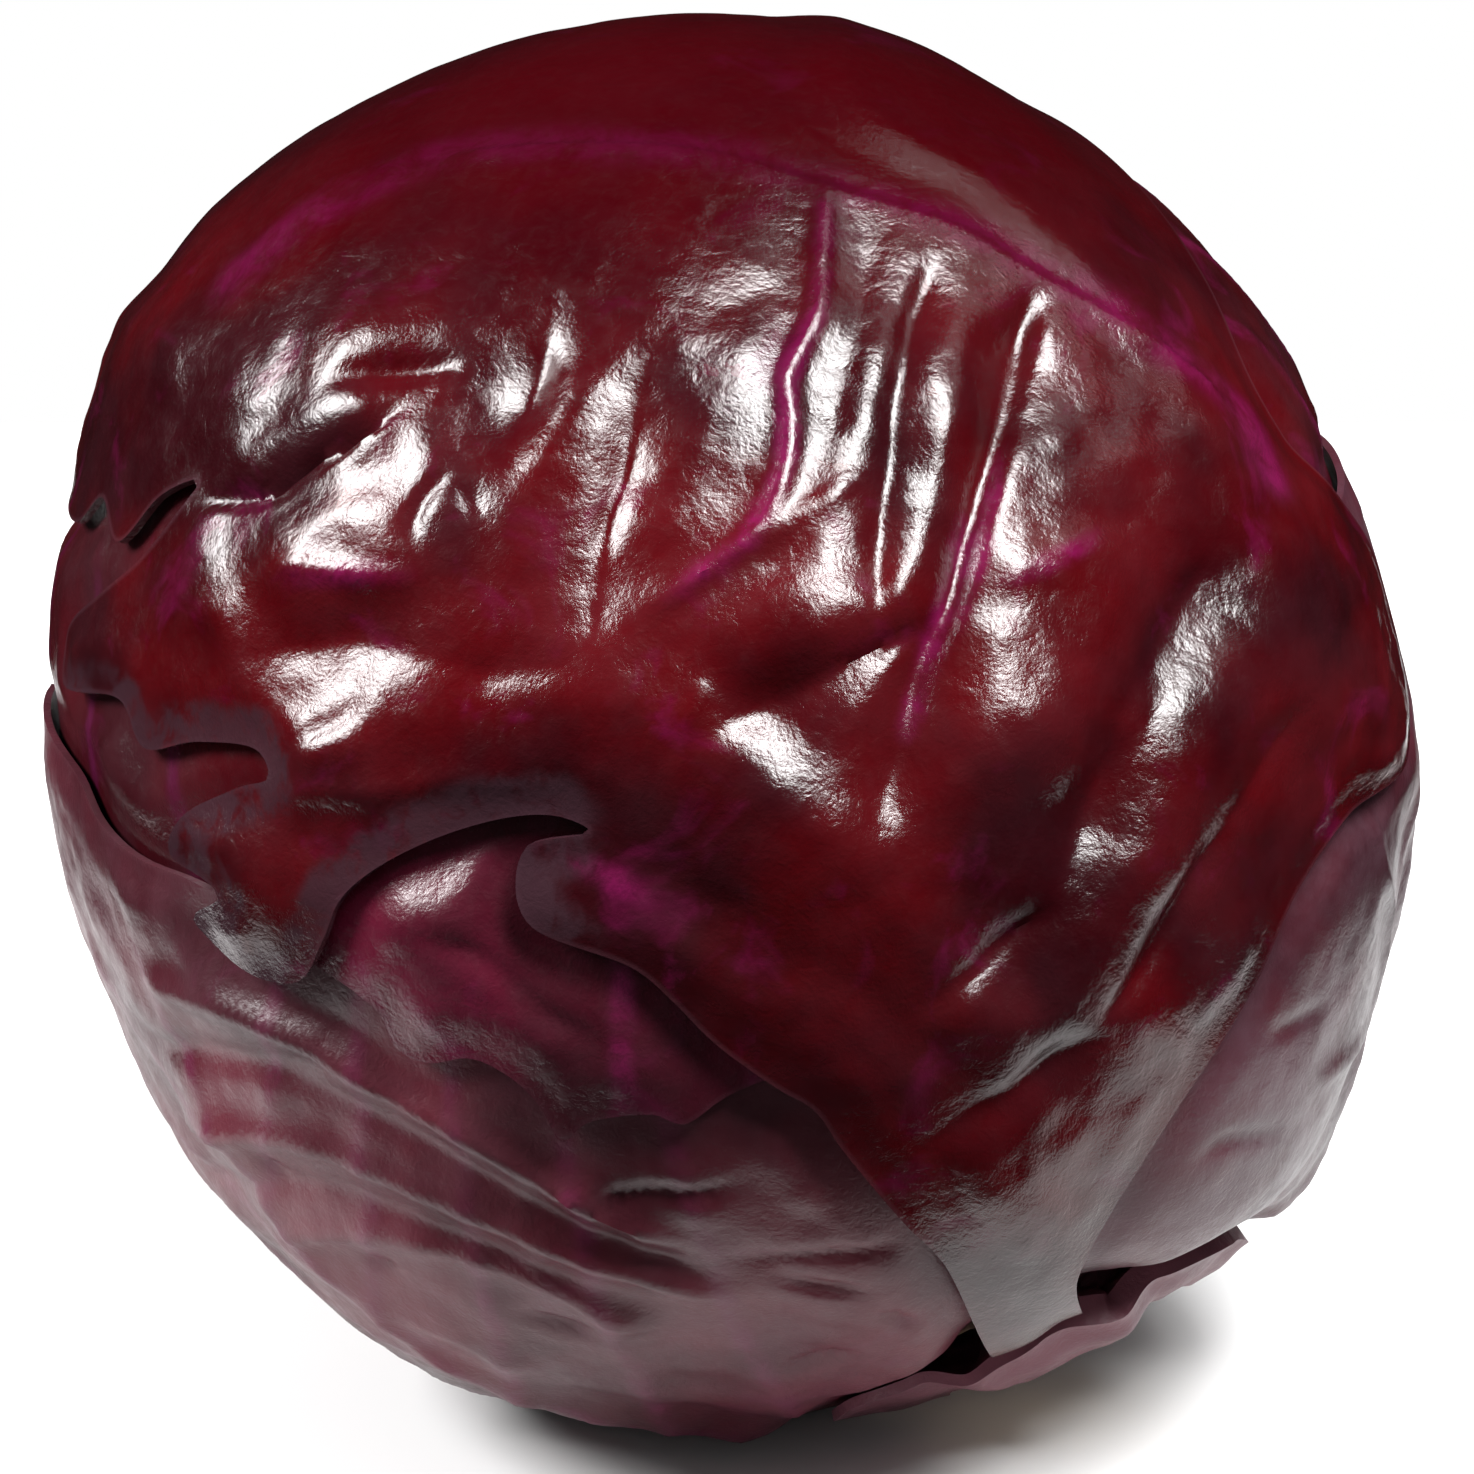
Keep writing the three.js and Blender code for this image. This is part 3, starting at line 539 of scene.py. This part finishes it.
def crumple(flat, size, seed):
    """Smooth seeded unevenness from -1 to 1, with bumps of about the given size in millimetres."""
    grid = np.random.default_rng(seed).uniform(-1, 1, (LATTICE, LATTICE))
    place = flat / size + LATTICE_SHIFT
    cell = np.floor(place).astype(int)
    share = place - cell
    (i, j), (a, b) = cell.T % LATTICE, (share * share * (3 - 2 * share)).T
    k, m = (i + 1) % LATTICE, (j + 1) % LATTICE
    return (1 - b) * ((1 - a) * grid[i, j] + a * grid[k, j]) + b * ((1 - a) * grid[i, m] + a * grid[k, m])


def mark_height(points, rise, width, side, line):
    """A crease or ridge that fades at its ends; with a side given it is a step on that side alone."""
    height = np.zeros(len(points))
    low, high = line.min(0) - 5 * width - 2, line.max(0) + 5 * width + 2
    near = ((points > low) & (points < high)).all(1)
    away, _, place, hand, run = nearest_on(points[near], line)
    fade = min(7, 0.45 * run)
    ends = smooth(place, 0, fade) * smooth(run - place, 0, fade)
    if side:
        signed = away * hand * side
        shape = smooth(signed, -0.5, 0.5) * np.exp(-np.maximum(0, signed) / width)
    else:
        shape = np.exp(-(away / width) ** 1.4)
    height[near] = rise * ends * shape
    return height


def blister_height(chart, points, x, z, wide, tall, turn, rise):
    """A low oval swelling, placed in the front view."""
    middle, right = chart.flat(front([(x, z), (x + 1, z)]))
    along = (right - middle) / np.linalg.norm(right - middle)
    angle = math.radians(turn)
    along = np.array([along[0] * math.cos(angle) - along[1] * math.sin(angle),
                      along[0] * math.sin(angle) + along[1] * math.cos(angle)])
    across = np.array([-along[1], along[0]])
    offset = points - middle
    spread = (offset @ along / wide) ** 2 + (offset @ across / tall) ** 2
    return rise * np.exp(-spread ** 1.3)


def level_out(height):
    """The height as it is where the leaf is raised, levelling out softly where it would sink in."""
    return (height + np.sqrt((height + SINK_START) ** 2 + SINK_BEND) - SINK_DROP) / 2


def map_points(rim, step):
    low = rim.min(0) - MAP_MARGIN
    steps = np.ceil((rim.max(0) + MAP_MARGIN - low) / step).astype(int)
    u, v = np.meshgrid(np.arange(steps[0]), np.arange(steps[1]), indexing="ij")
    return low, steps, low + np.stack([u.ravel(), v.ravel()], -1) * step


def height_maps(leaf):
    """A leaf's depth, relief, and veins with painted highlights on fine grids, from which every place on it
    is read.
    """
    chart, rim = leaf["chart"], leaf["rim"]
    low, steps, points = map_points(rim, DEPTH_STEP)
    leaf["maps"] = {"depth": (low, DEPTH_STEP, depth_in(rim, points).reshape(steps))}
    low, steps, points = map_points(rim, MAP_STEP)
    dirs = chart.dirs(points)
    depth, stem = read_map(leaf, "depth", points), from_stem(dirs)
    height, nearest, vein = (np.full(len(points), start) for start in (0.0, 99.0, 0.0))
    taper = 1 - 0.7 * smooth(stem, 15, 150) if "base" in leaf else np.ones(len(points))
    for rise, width, line in leaf["ribs"]:
        close = ((points > line.min(0) - RIB_REACH) & (points < line.max(0) + RIB_REACH)).all(1)
        near = close & (depth > -1)
        away, _, place, _, run = nearest_on(points[near], line)
        ends = smooth(run - place, 0, min(12, 0.5 * run))
        if "base" not in leaf:
            ends = ends * smooth(place, 0, min(12, 0.5 * run))
        soft = 0.6 * np.exp(-(away / width) ** 2) + 0.4 * np.exp(-away / (0.45 * width))
        height[near] += rise * taper[near] * ends * soft
        nearest[near] = np.minimum(nearest[near], away + 9 * (1 - ends))
        if rise > 0:
            vein[near] = np.maximum(vein[near], ends * np.exp(-(away / 1.3) ** 2))
    # Painted highlight lines are laid into the vein map at full strength, and the material tints them pink.
    for width, line in leaf["painted_highlight"]:
        away = nearest_on(points, line)[0]
        vein = np.maximum(vein, np.exp(-(away / width) ** 2))
    high = smooth(dirs @ UPWARD, 0.5, 0.8)
    quilt = leaf["quilt"] * (1 - high) * (1 - np.exp(-(nearest / QUILT_WIDTH) ** 2))
    height += quilt
    for mark in leaf["marks"]:
        height += mark_height(points, *mark)
    for blister in leaf.get("blisters", []):
        height += blister_height(chart, points, *blister)
    seed = len(leaf["name"]) * 7 + len(rim)
    rough = leaf.get("rough", 0.6) * (1 - 0.8 * high)
    broad = 0.5 * crumple(points * [1, 0.6], 11, seed + 3) + 0.24 * crumple(points, 5.3, seed)
    fine = 0.12 * crumple(points, 2.7, seed + 1) - 0.06 * np.abs(crumple(points, 1.6, seed + 2))
    height += rough * (broad + fine)
    body = leaf.get("body", 0.4) * smooth(depth, 0, 18)
    relief = level_out(body + height * smooth(depth, 0, 6)) * smooth(stem, 14, 26)
    leaf["maps"]["relief"] = (low, MAP_STEP, relief.reshape(steps))
    leaf["maps"]["vein"] = (low, MAP_STEP, vein.reshape(steps))


def read_map(leaf, name, flat):
    low, step, field = leaf["maps"][name]
    place = (flat - low) / step
    cell = np.clip(np.floor(place).astype(int), 0, np.array(field.shape) - 2)
    share = np.clip(place - cell, 0, 1)
    (i, j), (a, b) = cell.T, share.T
    return ((1 - a) * (1 - b) * field[i, j] + a * (1 - b) * field[i + 1, j]
            + (1 - a) * b * field[i, j + 1] + a * b * field[i + 1, j + 1])


def prepare(leaf):
    leaf["outline"] = np.vstack(leaf["outline"])
    leaf["chart"] = Chart(leaf["outline"].sum(0))
    leaf["rim"] = spaced(leaf["chart"].flat(leaf["outline"]), 1.2, True)
    if "ribs" in leaf:
        leaf["ribs"] = [(rise, width, spaced(leaf["chart"].flat(front(line)), 4, False))
                        for rise, width, line in leaf["ribs"]]
    else:
        leaf["ribs"] = fan(leaf) if "base" in leaf else []
    leaf["painted_highlight"] = [(width, spaced(leaf["chart"].flat(front(line)), 3, False))
                     for width, line in leaf.get("painted_highlight", [])]
    leaf["marks"] = [(rise, width, side, spaced(leaf["chart"].flat(front(line)), 1.5, False))
                     for rise, width, side, line in leaf.get("marks", [])]
    height_maps(leaf)


def thickness(leaf, stem, depth):
    base = (BASE_BLADE - BLADE) * (1 - smooth(stem, 15, 42))
    collar = leaf.get("thick", 0) * (1 - smooth(stem, 14, 26))
    return MARGIN_BLADE + (BLADE - MARGIN_BLADE) * smooth(depth, 0, 6) + base + collar


def lift(leaf, depth):
    return leaf["curl"] * (1 - smooth(depth, 0, 7))


def gap(stem):
    return LEAF_GAP + STEM_GAP * (1 - smooth(stem, 22, 45))


class Stack:
    """The leaves over a set of directions, with each one's depth read once."""

    def __init__(self, dirs):
        self.dirs = dirs
        self.stem = from_stem(dirs)
        self.flat = [leaf["chart"].flat(dirs) for leaf in LEAVES]
        self.depth = [read_map(leaf, "depth", flat) for leaf, flat in zip(LEAVES, self.flat)]

    def hidden(self, level):
        most = np.zeros(len(self.dirs))
        for depth in self.depth[level + 1:]:
            most = np.maximum(most, smooth(depth, -7, -1.5))
        return most

    def swell(self, level):
        return read_map(LEAVES[level], "relief", self.flat[level]) * (1 - self.hidden(level))

    def head(self):
        radius = whole_radius(self.dirs)
        settled = SETTLE * smooth(self.stem, 10, 45)
        for leaf, depth in zip(LEAVES, self.depth):
            room = gap(self.stem) + thickness(leaf, self.stem, SETTLE)
            radius -= smooth(depth, -SETTLE, settled) * room
        return np.minimum(radius, rest_plane(self.dirs, REST_HEIGHT - 2))

    def under(self, level):
        radius = self.head()
        for below in range(level):
            leaf, depth = LEAVES[below], self.depth[below]
            held = np.maximum(0, depth)
            rise = gap(self.stem) + thickness(leaf, self.stem, held) + lift(leaf, held)
            rise += np.where(depth > 0, self.swell(below), 0)
            radius += smooth(depth, -SHELF - SLOPE, -SHELF) * rise
        return radius


# Modelling helpers

def select_only(piece):
    bpy.ops.object.select_all(action="DESELECT")
    piece.select_set(True)
    bpy.context.view_layer.objects.active = piece


def apply_modifier(piece, kind, **settings):
    select_only(piece)
    modifier = piece.modifiers.new(kind.lower(), kind)
    for key, value in settings.items():
        setattr(modifier, key, value)
    bpy.ops.object.modifier_apply(modifier=modifier.name)


def read_places(piece):
    places = np.zeros(len(piece.data.vertices) * 3, np.float32)
    piece.data.vertices.foreach_get("co", places)
    return places.reshape(-1, 3).astype(float)


def write_places(piece, places):
    piece.data.vertices.foreach_set("co", places.astype(np.float32).ravel())
    piece.data.update()


def write_attribute(piece, name, values):
    attribute = piece.data.attributes.new(name, "FLOAT", "POINT")
    attribute.data.foreach_set("value", values.astype(np.float32))


def delete_faces(piece, doomed):
    bpy.context.tool_settings.mesh_select_mode = (False, False, True)
    select_only(piece)
    piece.data.polygons.foreach_set("select", doomed)
    bpy.ops.object.mode_set(mode="EDIT")
    bpy.ops.mesh.delete(type="FACE")
    bpy.ops.object.mode_set(mode="OBJECT")


def rim_vertices(mesh):
    uses = np.zeros(len(mesh.loops), int)
    mesh.loops.foreach_get("edge_index", uses)
    counts = np.bincount(uses, minlength=len(mesh.edges))
    ends = np.zeros(len(mesh.edges) * 2, int)
    mesh.edges.foreach_get("vertices", ends)
    return np.unique(ends.reshape(-1, 2)[counts == 1])


def place_on_head(piece, dirs, radius):
    write_places(piece, (dirs * radius[:, None] + CENTRE) * MM)


def finish_piece(piece, node, material):
    select_only(piece)
    bpy.ops.object.shade_smooth_by_angle(angle=SHADING_ANGLE)
    piece.data.materials.clear()
    piece.data.materials.append(material)
    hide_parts(node)
    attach(piece, "root")
    return piece


def grey_margin(leaf, dirs, radius, depth):
    """The dried, greyed band along a torn margin, on the left of the front view alone."""
    if "grey" not in leaf:
        return np.zeros(len(depth))
    band = 1 - smooth(depth, 0.45 * leaf["grey"], leaf["grey"])
    spots = dirs * radius[:, None]
    return band * smooth(-(spots @ RIGHT), 9, 18) * (1 - smooth(spots @ UPWARD, 3, 11))


def leaf_piece(level):
    """A leaf: a fine grid cut to the leaf's outline, laid on the leaves below and given its blade."""
    leaf = LEAVES[level]
    low, high = leaf["rim"].min(0) - leaf["cell"], leaf["rim"].max(0) + leaf["cell"]
    cells = np.ceil((high - low) / leaf["cell"]).astype(int)
    bpy.ops.object.select_all(action="DESELECT")
    bpy.ops.mesh.primitive_grid_add(x_subdivisions=int(cells[0]), y_subdivisions=int(cells[1]), size=1)
    piece = bpy.context.active_object
    piece.name = piece.data.name = "skin_" + leaf["name"]
    flat = low + (read_places(piece)[:, :2] + 0.5) * (high - low)
    write_places(piece, np.column_stack([flat, np.zeros(len(flat))]))
    middles = np.zeros(len(piece.data.polygons) * 3, np.float32)
    piece.data.polygons.foreach_get("center", middles)
    delete_faces(piece, read_map(leaf, "depth", middles.reshape(-1, 3)[:, :2].astype(float)) < 0)
    flat = read_places(piece)[:, :2]
    edge = rim_vertices(piece.data)
    flat[edge] = nearest_on(flat[edge], np.vstack([leaf["rim"], leaf["rim"][:1]]))[1]
    dirs = leaf["chart"].dirs(flat)
    stack = Stack(dirs)
    depth = np.maximum(0, stack.depth[level])
    depth[edge] = 0
    blade = thickness(leaf, stack.stem, depth)
    if "thick" in leaf:
        blade = blade + DIMPLE_FILL * dimple(dirs) * (1 - smooth(stack.stem, 16, 27))
    radius = stack.under(level) + gap(stack.stem) + lift(leaf, depth) + stack.swell(level) + blade
    radius = np.minimum(radius, rest_plane(dirs, REST_HEIGHT))
    place_on_head(piece, dirs, radius)
    write_attribute(piece, "depth", depth)
    write_attribute(piece, "vein", read_map(leaf, "vein", flat))
    write_attribute(piece, "bloom", np.full(len(flat), leaf.get("bloom", 0.1)))
    write_attribute(piece, "grey", grey_margin(leaf, dirs, radius, depth))
    group = piece.vertex_groups.new(name="blade")
    for index, share in enumerate(blade / SOLIDIFY_REACH):
        group.add([index], float(share), "REPLACE")
    apply_modifier(piece, "SOLIDIFY", thickness=SOLIDIFY_REACH * MM, offset=-1, vertex_group="blade")
    return finish_piece(piece, leaf["name"], MATERIALS[leaf.get("look", leaf["slot"])])


def head_piece():
    """The ball of inner leaves, a fine ball shaped to lie just under the wrapper leaves."""
    bpy.ops.object.select_all(action="DESELECT")
    bpy.ops.mesh.primitive_ico_sphere_add(subdivisions=7, radius=1)
    piece = bpy.context.active_object
    piece.name = piece.data.name = "inner_leaves"
    places = read_places(piece)
    dirs = places / length(places)[:, None]
    stack = Stack(dirs)
    slack = HEAD_SLACK * (1 - smooth(stack.stem, 22, 45))
    radius = stack.head() - slack
    socket = smooth(stack.stem, 12.6, 13.4)
    place_on_head(piece, dirs, STEM_ROOT * (1 - socket) + radius * socket)
    write_attribute(piece, "depth", np.full(len(dirs), 9.0))
    write_attribute(piece, "bloom", np.full(len(dirs), 0.1))
    return finish_piece(piece, "head", MATERIALS["inner_leaf"])


def stem_piece():
    """The cut stem: a cylinder drawn in to its root, with its rim bevelled and its end sawn askew."""
    bpy.ops.object.select_all(action="DESELECT")
    bpy.ops.mesh.primitive_cylinder_add(vertices=96, radius=STEM_RADIUS, depth=1, end_fill_type="TRIFAN")
    piece = bpy.context.active_object
    piece.name = piece.data.name = "cut_stem_end"
    places = read_places(piece)
    top = places[:, 2] > 0
    out = STEM_ROOT + (STEM_END - STEM_ROOT) * top
    out = out + np.where(top, places[:, 0] * math.tan(STEM_END_TILT), 0)
    narrow = np.where(top, 1, STEM_ROOT_RADIUS / STEM_RADIUS)
    across = np.cross(STEM_AXIS, STEM_EAST)
    aside = places[:, :1] * STEM_EAST + places[:, 1:2] * across
    spot = out[:, None] * STEM_AXIS + aside * narrow[:, None]
    write_places(piece, (spot + CENTRE) * MM)
    apply_modifier(piece, "BEVEL", width=0.8 * MM, segments=3, angle_limit=math.radians(50))
    return finish_piece(piece, "stem", MATERIALS["cut_stem"])


# Materials

# A leaf's patterns: the size of their features in millimetres, detail, roughness and distortion.
# They are its patches, streaks, breaks in the veins, clouds of bloom, tears, wrinkles and grain.
LEAF_PATTERNS = [
    (24, 3, 0.5, 0), (11, 4, 0.6, 0.6), (7, 5, 0.7, 0.5), (15, 6, 0.65, 0), (5, 4, 0.6, 0.4),
    (1.5, 5, 0.62, 0.5), (0.4, 3, 0.6, 0),
]

# Painted shade on the head's crown: the heights between which it is painted darker, in metres, and the
# shade's colour
CROWN_SHADE_START = 0.105
CROWN_SHADE_END = 0.136
CROWN_SHADE = "200002"

# How deep the skin's wrinkles and the stem's fibres are, in millimetres
WRINKLE_DEPTH = 0.28
FIBRE_DEPTH = 0.3


def colour(code):
    """An sRGB hex colour as linear red, green, blue and alpha."""
    parts = [int(code[i:i + 2], 16) / 255 for i in (0, 2, 4)]
    return [part / 12.92 if part <= 0.04045 else ((part + 0.055) / 1.055) ** 2.4 for part in parts] + [1]


def add_node(tree, kind, out=0, settings=None, **links):
    """Adds a node with its settings and links, and gives one of its outputs. Input number 0 is i0."""
    node = tree.nodes.new(kind)
    for key, value in (settings or {}).items():
        setattr(node, key, value)
    for key, value in links.items():
        numbered = key[0] == "i" and key[1:].isdigit()
        socket = node.inputs[int(key[1:]) if numbered else key.replace("_", " ")]
        if isinstance(value, bpy.types.NodeSocket):
            tree.links.new(value, socket)
        else:
            socket.default_value = value
    return node.outputs[out] if node.outputs else None


def new_material(name):
    material = bpy.data.materials.new(name)
    material.use_nodes = True
    tree = material.node_tree
    tree.nodes.clear()
    return material, tree


def waxed_leaf(name, deep, bright, flush_and_highlight, bloom, dried, roughness, index=1.42):
    """Red cabbage leaf: crimson sap under a thin wax skin, which shows as satin gloss and grey bloom, with
    painted highlight along the vein map, a pale margin rim that is partly painted sheen, and painted shade
    on the crown.
    """
    material, tree = new_material(name)
    place = add_node(tree, "ShaderNodeTexCoord", "Object")
    height = add_node(tree, "ShaderNodeSeparateXYZ", "Z", Vector=place)
    vein, depth, powder, grey = (
        add_node(tree, "ShaderNodeAttribute", "Fac", {"attribute_name": kind})
        for kind in ("vein", "depth", "bloom", "grey"))
    patches, streaks, breaks, clouds, tears, wrinkles, grain = (
        add_node(tree, "ShaderNodeTexNoise", "Fac", Vector=place, Scale=1 / (size * MM), Detail=detail,
                 Roughness=rough, Distortion=distortion)
        for size, detail, rough, distortion in LEAF_PATTERNS)
    patches, streaks, breaks, clouds, tears, veins_and_highlight, edge, crown_shade, dull = (
        add_node(tree, "ShaderNodeMapRange", 0, {"interpolation_type": "SMOOTHSTEP"}, Value=value,
                 From_Min=low, From_Max=high, To_Min=least, To_Max=most)
        for value, low, high, least, most in (
            (patches, 0.35, 0.65, 0, 1),
            (streaks, 0.56, 0.76, 0, 0.3),
            (breaks, 0.35, 0.65, 0.1, 0.6),
            (clouds, 0.34, 0.68, 0.35, 1.25),
            (tears, 0.3, 0.66, 0.1, 0.9),
            (vein, 0.05, 1, 0, 1),
            # A pale bloom-coloured rim along every margin: partly real bloom, partly painted sheen of the
            # rolled edge
            (depth, 0.1, 0.7, 0.15, 0),
            # Painted shade: darker towards the top of the head
            (height, CROWN_SHADE_START, CROWN_SHADE_END, 0, 0.8),
            (wrinkles, 0.3, 0.75, roughness - 0.04, roughness + 0.06),
        ))
    veins_and_highlight, powdered, torn = (
        add_node(tree, "ShaderNodeMath", 0, {"operation": "MULTIPLY", "use_clamp": True},
                 i0=value, i1=pattern)
        for value, pattern in ((veins_and_highlight, breaks), (powder, clouds), (grey, tears)))
    torn = add_node(tree, "ShaderNodeMapRange", 0, {"interpolation_type": "SMOOTHSTEP"}, Value=torn,
                    From_Min=0.05, From_Max=0.7, To_Min=0, To_Max=0.8)
    # Painted light in the sap: the vein map carries real vein colour and painted highlight, the margin rim
    # is partly painted sheen, and the crown's darkening is painted shade.
    sap = colour(deep)
    for share, code in ((patches, bright), (streaks, flush_and_highlight), (veins_and_highlight, flush_and_highlight), (powdered, bloom),
                        (edge, bloom), (torn, dried), (crown_shade, CROWN_SHADE)):
        sap = add_node(tree, "ShaderNodeMix", 2, {"data_type": "RGBA"}, i0=share, i6=sap, i7=colour(code))
    bumps = add_node(tree, "ShaderNodeMix", 0, {"data_type": "FLOAT"}, i0=0.3, i2=wrinkles, i3=grain)
    skin = add_node(tree, "ShaderNodeBump", Strength=0.5, Distance=WRINKLE_DEPTH * MM, Height=bumps)
    shader = add_node(tree, "ShaderNodeBsdfPrincipled", Base_Color=sap, Roughness=dull, IOR=index,
                      Normal=skin)
    add_node(tree, "ShaderNodeOutputMaterial", Surface=shader)
    return material


def cut_stem_flesh(name):
    """Cut cabbage stem, dried in the air: buff pith, clouded and speckled with darker fibres."""
    material, tree = new_material(name)
    place = add_node(tree, "ShaderNodeTexCoord", "Object")
    clouds, fibres = (
        add_node(tree, "ShaderNodeTexNoise", "Fac", Vector=place, Scale=1 / (size * MM), Detail=4,
                 Roughness=rough)
        for size, rough in ((3, 0.5), (0.6, 0.7)))
    tone = colour("a58e78")
    for pattern, low, high, most, code in (
            (clouds, 0.35, 0.7, 1, "cdbba2"),
            (fibres, 0.55, 0.75, 0.5, "7d5f5c")):
        share = add_node(tree, "ShaderNodeMapRange", 0, {"interpolation_type": "SMOOTHSTEP"}, Value=pattern,
                         From_Min=low, From_Max=high, To_Min=0, To_Max=most)
        tone = add_node(tree, "ShaderNodeMix", 2, {"data_type": "RGBA"}, i0=share, i6=tone, i7=colour(code))
    grain = add_node(tree, "ShaderNodeBump", Strength=0.5, Distance=FIBRE_DEPTH * MM, Height=fibres)
    shader = add_node(tree, "ShaderNodeBsdfPrincipled", Base_Color=tone, Roughness=0.72, IOR=1.4,
                      Normal=grain)
    add_node(tree, "ShaderNodeOutputMaterial", Surface=shader)
    return material


MATERIALS = {
    "outer_leaf": waxed_leaf(
        "waxy_crimson_leaf", deep="1c0002", bright="380002", flush_and_highlight="620a3c", bloom="50363f",
        dried="2a1a20", roughness=0.18, index=1.4),
    "inner_leaf": waxed_leaf(
        "smooth_crimson_inner_leaf", deep="260004", bright="3a0005", flush_and_highlight="480530", bloom="5a4048",
        dried="20131a", roughness=0.22),
    "pale_leaf": waxed_leaf(
        "pinkish_bloomed_leaf", deep="2c050d", bright="4e1520", flush_and_highlight="540e34", bloom="503038",
        dried="2c1a1f", roughness=0.34, index=1.29),
    "bloomed_leaf": waxed_leaf(
        "grey_purple_bloomed_leaf", deep="24030a", bright="400a14", flush_and_highlight="4a0c2e", bloom="4a343c",
        dried="20131a", roughness=0.32, index=1.3),
    "under_leaf": waxed_leaf(
        "magenta_crimson_leaf", deep="2c020c", bright="4a041c", flush_and_highlight="600a3a", bloom="463038",
        dried="20131a", roughness=0.26),
    "leaf_base": waxed_leaf(
        "pale_pink_leaf_base", deep="44202a", bright="5c323c", flush_and_highlight="4c1c30", bloom="62424a",
        dried="2c1a1f", roughness=0.4, index=1.3),
    "cut_stem": cut_stem_flesh("dried_cut_stem"),
}


# Stage, light and camera

FLOOR_SIZE = [0.29, 0.535, 0]
FLOOR_MIDDLE = [0, 0.1925, 0]

# Each light's name, direction from the head, distance, long side's direction, size and watts, in metres
SOFTBOXES = [
    ("left_overhead_softbox", (-0.82, -0.1, 0.58), 1.27, (0, 1, 0), (0.55, 0.5), 38),
    ("right_overhead_softbox", (0.26, -0.36, 0.9), 1.1, (1, 0, 0), (0.5, 0.28), 23),
    ("right_front_softbox", (0.42, -0.52, 0.74), 1.1, (1, 0, 0), (0.34, 0.28), 16),
    ("back_strip", (0.5, 0.1, 0.86), 1.15, (0.86, -0.3, -0.42), (0.8, 0.03), 1.2),
]


def area_light(name, direction, distance, along, size, power):
    """A rectangular light that faces the head from one direction, with its long side along another."""
    back = np.array(direction) / np.linalg.norm(direction)
    aside = np.array(along) - back * (np.array(along) @ back)
    aside = aside / np.linalg.norm(aside)
    data = bpy.data.lights.new(name, "AREA")
    data.shape = "RECTANGLE"
    data.size, data.size_y = size
    data.energy = power
    light = bpy.data.objects.new(name, data)
    bpy.context.scene.collection.objects.link(light)
    light.location = CENTRE * MM + back * distance
    light.rotation_euler = Matrix(np.column_stack([aside, np.cross(back, aside), back]).tolist()).to_euler()
    return light


def studio():
    bpy.ops.object.select_all(action="DESELECT")
    bpy.ops.mesh.primitive_plane_add(size=1)
    floor = bpy.context.active_object
    floor.name = "floor"
    write_places(floor, read_places(floor) * FLOOR_SIZE + FLOOR_MIDDLE)
    material, tree = new_material("matt_white_paper_floor")
    shader = add_node(tree, "ShaderNodeBsdfPrincipled", Base_Color=colour("d2d2d2"), Roughness=0.9)
    add_node(tree, "ShaderNodeOutputMaterial", Surface=shader)
    floor.data.materials.append(material)
    for softbox in SOFTBOXES:
        area_light(*softbox)
    world = bpy.data.worlds.new("studio_air")
    bpy.context.scene.world = world
    world.use_nodes = True
    world.cycles.sampling_method = "NONE"
    tree = world.node_tree
    tree.nodes.clear()
    dark = add_node(tree, "ShaderNodeBackground", Color=colour("404040"), Strength=0.12)
    pale = add_node(tree, "ShaderNodeBackground", Color=colour("ffffff"), Strength=0.3)
    wall = add_node(tree, "ShaderNodeBackground", Color=colour("ffffff"), Strength=1.0)
    scattered, seen = (
        add_node(tree, "ShaderNodeLightPath", ray) for ray in ("Is Diffuse Ray", "Is Camera Ray"))
    room = add_node(tree, "ShaderNodeMixShader", i0=scattered, i1=dark, i2=pale)
    room = add_node(tree, "ShaderNodeMixShader", i0=seen, i1=room, i2=wall)
    add_node(tree, "ShaderNodeOutputWorld", Surface=room)
    bpy.context.scene.view_settings.view_transform = "Standard"


def camera():
    data = bpy.data.cameras.new("front_camera")
    data.sensor_width = 36
    data.lens = data.sensor_width * VIEW_DISTANCE / VIEW_WIDTH
    data.clip_start = 0.05
    view = bpy.data.objects.new("front_camera", data)
    bpy.context.scene.collection.objects.link(view)
    view.location = (CENTRE + TOWARDS * VIEW_DISTANCE - UPWARD * VIEW_DROP) * MM
    view.rotation_euler = (math.pi / 2 - VIEW_TILT, 0, 0)
    bpy.context.scene.camera = view


camera()
studio()
for leaf in LEAVES:
    prepare(leaf)
for level in range(len(LEAVES)):
    leaf_piece(level)
head_piece()
stem_piece()
